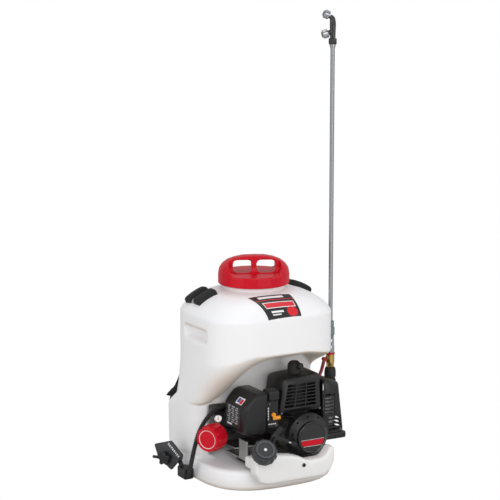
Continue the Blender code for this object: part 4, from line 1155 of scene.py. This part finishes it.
@dataclass
class Harness:
    """Shoulder straps. Lines are the right side's, and half and thick are half of a pad's size."""

    half: float = 0.0242
    thick: float = 0.005
    channel: float = 0.036
    pad_line: tuple[Triple, ...] = (
        (0.084, 0.1222, 0.354), (0.084, 0.1224, 0.32), (0.084, 0.1226, 0.285), (0.085, 0.127, 0.24),
        (0.087, 0.1365, 0.2), (0.095, 0.148, 0.168), (0.104, 0.1595, 0.151), (0.11, 0.1672, 0.139))
    lower_line: tuple[Triple, ...] = (
        (0.108, 0.1648, 0.146), (0.1105, 0.1672, 0.13), (0.112, 0.165, 0.105), (0.114, 0.161, 0.07),
        (0.115, 0.154, 0.045), (0.116, 0.141, 0.027), (0.1165, 0.1285, 0.017))
    tab_line: tuple[Triple, ...] = (
        (0.084, 0.1222, 0.342), (0.084, 0.1218, 0.354), (0.084, 0.1165, 0.3605), (0.084, 0.109, 0.3625))

    def build(self) -> None:
        """Build the straps."""
        for side, sign in (("left", -1), ("right", 1)):
            self.pad(side, sign)
            self.webbing(side, sign)
            self.loops(side, sign)

    def pad(self, side: str, sign: int) -> None:
        """Foam pad with sewn channels and piped edges.

        Section a = w cos|cos|^-1/2, b = h(s) sin|sin|^-0.3 with h = h0 (1 - 0.45 exp(-(d / 2.2 mm)^2)), eased
        at the ends. d is the distance along the strap to the nearest sewn channel.

        Args:
            side: Which shoulder.
            sign: Its side of the middle.
        """
        path = spline(np.array(self.pad_line) * (sign, 1, 1), 220)
        arc = lengths(path)
        near = np.abs((arc + self.channel / 2) % self.channel - self.channel / 2)
        ends = np.clip(np.minimum(arc, arc[-1] - arc) / 0.006, 0.02, 1) ** 0.5
        high = self.thick * (1 - 0.45 * np.exp(-(near / 0.0022) ** 2)) * ends
        c, s = np.cos(around(72)), np.sin(around(72))
        wide = self.half * c / np.sqrt(np.abs(c) + 1e-9)
        deep = s / (np.abs(s) + 1e-9) ** 0.3
        section = np.stack([np.broadcast_to(wide, (220, 72)), high[:, None] * deep], -1)
        node = f"shoulder_pad_{side}"
        pad = swept(f"pad_{side}", path, section, ACROSS)
        dress(pad, MESH, BODY_OF[node], node)
        for name, way in (("inner", -1), ("outer", 1)):
            edge = circle(0.0013, 12) + np.array((way * (self.half - 0.0004), 0))
            dress(swept(f"piping_{name}_{side}", path, edge, ACROSS), WEBBING, BODY_OF[node])

    def webbing(self, side: str, sign: int) -> None:
        """Lower strap and the tab that holds the pad, flat and woven with rounded edges: swept superellipses.

        Args:
            side: Which shoulder.
            sign: Its side of the middle.
        """
        angle = around(48)
        shape = np.stack([0.0125 * power(np.cos(angle), 0.25), 0.0011 * power(np.sin(angle), 0.4)], -1)
        lower = f"lower_webbing_{side}"
        for name, stops, nodes in (("webbing", self.lower_line, (lower,)), ("pad_tab", self.tab_line, ())):
            strap = swept(f"{name}_{side}", spline(np.array(stops) * (sign, 1, 1), 90), shape, ACROSS)
            dress(strap, WEBBING, BODY_OF[lower], *nodes)

    def loops(self, side: str, sign: int) -> None:
        """Two strap loops and the bar between them on an anchor: P(t, v) = crown(x(t), y(v)) + h(t, v) N.

        Args:
            side: Which shoulder.
            sign: Its side of the middle.
        """
        anchor = f"strap_anchor_{side}"
        tank = Tank()
        t, v = np.linspace(0, 1, 40)[:, None], np.linspace(-1, 1, 24)[None]
        for name, centre, half, rise, finish, nodes in (
                ("loop_front", 0.002, 0.013, 0.013, WEBBING, (anchor,)),
                ("loop_rear", 0.04, 0.013, 0.013, WEBBING, ()),
                ("loop_bar", 0.021, 0.004, 0.007, BUCKLE, ())):
            x = sign * (0.0935 + 0.044 * t) + 0 * v
            y = centre + half * v + 0 * t
            dome = rise * (1 - np.abs(v) ** 8) * (1 - np.abs(2 * t - 1) ** 14) ** 0.5 - 0.0008
            grid = tank.on_crown(x, y, 0.0)
            lift = tank.on_crown(x, y, 1.0) - grid
            dress(grid_mesh(f"{name}_{side}", grid + lift * dome[..., None]), finish, BODY_OF[anchor], *nodes)


@dataclass
class Studio:
    """Floor, light and camera of the photograph.

    Attributes:
        aim: Shift to the right and height of the point looked at.
        lamps: Name, place, side and watts of each area lamp.
    """

    azimuth: float = -29.0
    elevation: float = 10.2
    distance: float = 3.883
    focal_px: float = 1800.0
    pixels: int = 500
    aim: tuple[float, float] = (-0.008, 0.49)
    lamps: tuple[tuple[str, Triple, float, float], ...] = (
        ("key", (-1.0, -3.0, 2.0), 1.8, 24), ("fill", (2.4, -1.8, 1.3), 2.0, 12),
        ("low", (0.3, -2.6, 0.35), 1.2, 12), ("left", (-2.6, -0.6, 1.1), 2.0, 20),
        ("top", (0.3, 0.2, 3.0), 2.0, 18))

    def build(self) -> None:
        """Build floor, world, lamps and camera."""
        self.floor()
        self.world()
        for name, place, size, watts in self.lamps:
            data = bpy.data.lights.new(name, "AREA")
            data.size = size
            data.energy = watts
            lamp = linked(name, data)
            lamp.location = place
            lamp.rotation_euler = (Vector((0, 0, 0.25)) - Vector(place)).to_track_quat("-Z", "Y").to_euler()
        self.camera()

    def floor(self) -> None:
        """Pale floor that stays white to the camera and takes a light shadow."""
        u, v = np.meshgrid(np.linspace(-6, 6, 3), np.linspace(-6, 6, 3), indexing="ij")
        floor = grid_mesh("floor", np.stack([u, v, 0 * u + FLOOR_LEVEL], -1))
        material = bpy.data.materials.new("floor_white")
        material.use_nodes = True
        tree = material.node_tree
        shader = tree.nodes["Principled BSDF"]
        feed(tree, shader, {"Base Color": (0.7, 0.7, 0.7, 1), "Roughness": 0.9})
        split_by_ray(tree, shader.outputs["BSDF"], add_node(tree, "Emission", "Emission"), "Material Output")
        floor.data.materials.append(material)

    def world(self) -> None:
        """White world to the camera, soft grey light to the rest."""
        world = bpy.data.worlds.new("studio")
        bpy.context.scene.world = world
        world.use_nodes = True
        tree = world.node_tree
        light = tree.nodes["Background"]
        feed(tree, light, {"Color": (1, 1, 1, 1), "Strength": 0.5})
        seen = add_node(tree, "Background", "Background", {"Color": (1, 1, 1, 1), "Strength": 1.0})
        split_by_ray(tree, light.outputs["Background"], seen, "World Output")

    def camera(self) -> None:
        """Camera fitted to the photograph."""
        a, e = math.radians(self.azimuth), math.radians(self.elevation)
        right = Vector((math.cos(a), math.sin(a), 0))
        back = Vector((math.sin(a) * math.cos(e), -math.cos(a) * math.cos(e), math.sin(e)))
        data = bpy.data.cameras.new("camera")
        data.sensor_width = 36.0
        data.lens = self.focal_px / self.pixels * data.sensor_width
        camera = linked("camera", data)
        camera.location = right * self.aim[0] + Vector((0, 0, self.aim[1])) + back * self.distance
        camera.rotation_euler = (-back).to_track_quat("-Z", "Y").to_euler()
        scene = bpy.context.scene
        scene.camera = camera
        scene.render.resolution_x = scene.render.resolution_y = self.pixels
        scene.view_settings.view_transform = "Standard"


def main() -> None:
    """Build every sub-assembly and the studio."""
    logging.basicConfig(level=logging.INFO, format="%(message)s")
    for part in (Tank(), Filler(), Engine(), Pump(), Throttle(), Lance(), Harness(), Studio()):
        LOG.info("building %s", type(part).__name__)
        part.build()
    bpy.context.view_layer.update()


if __name__ == "__main__":
    main()
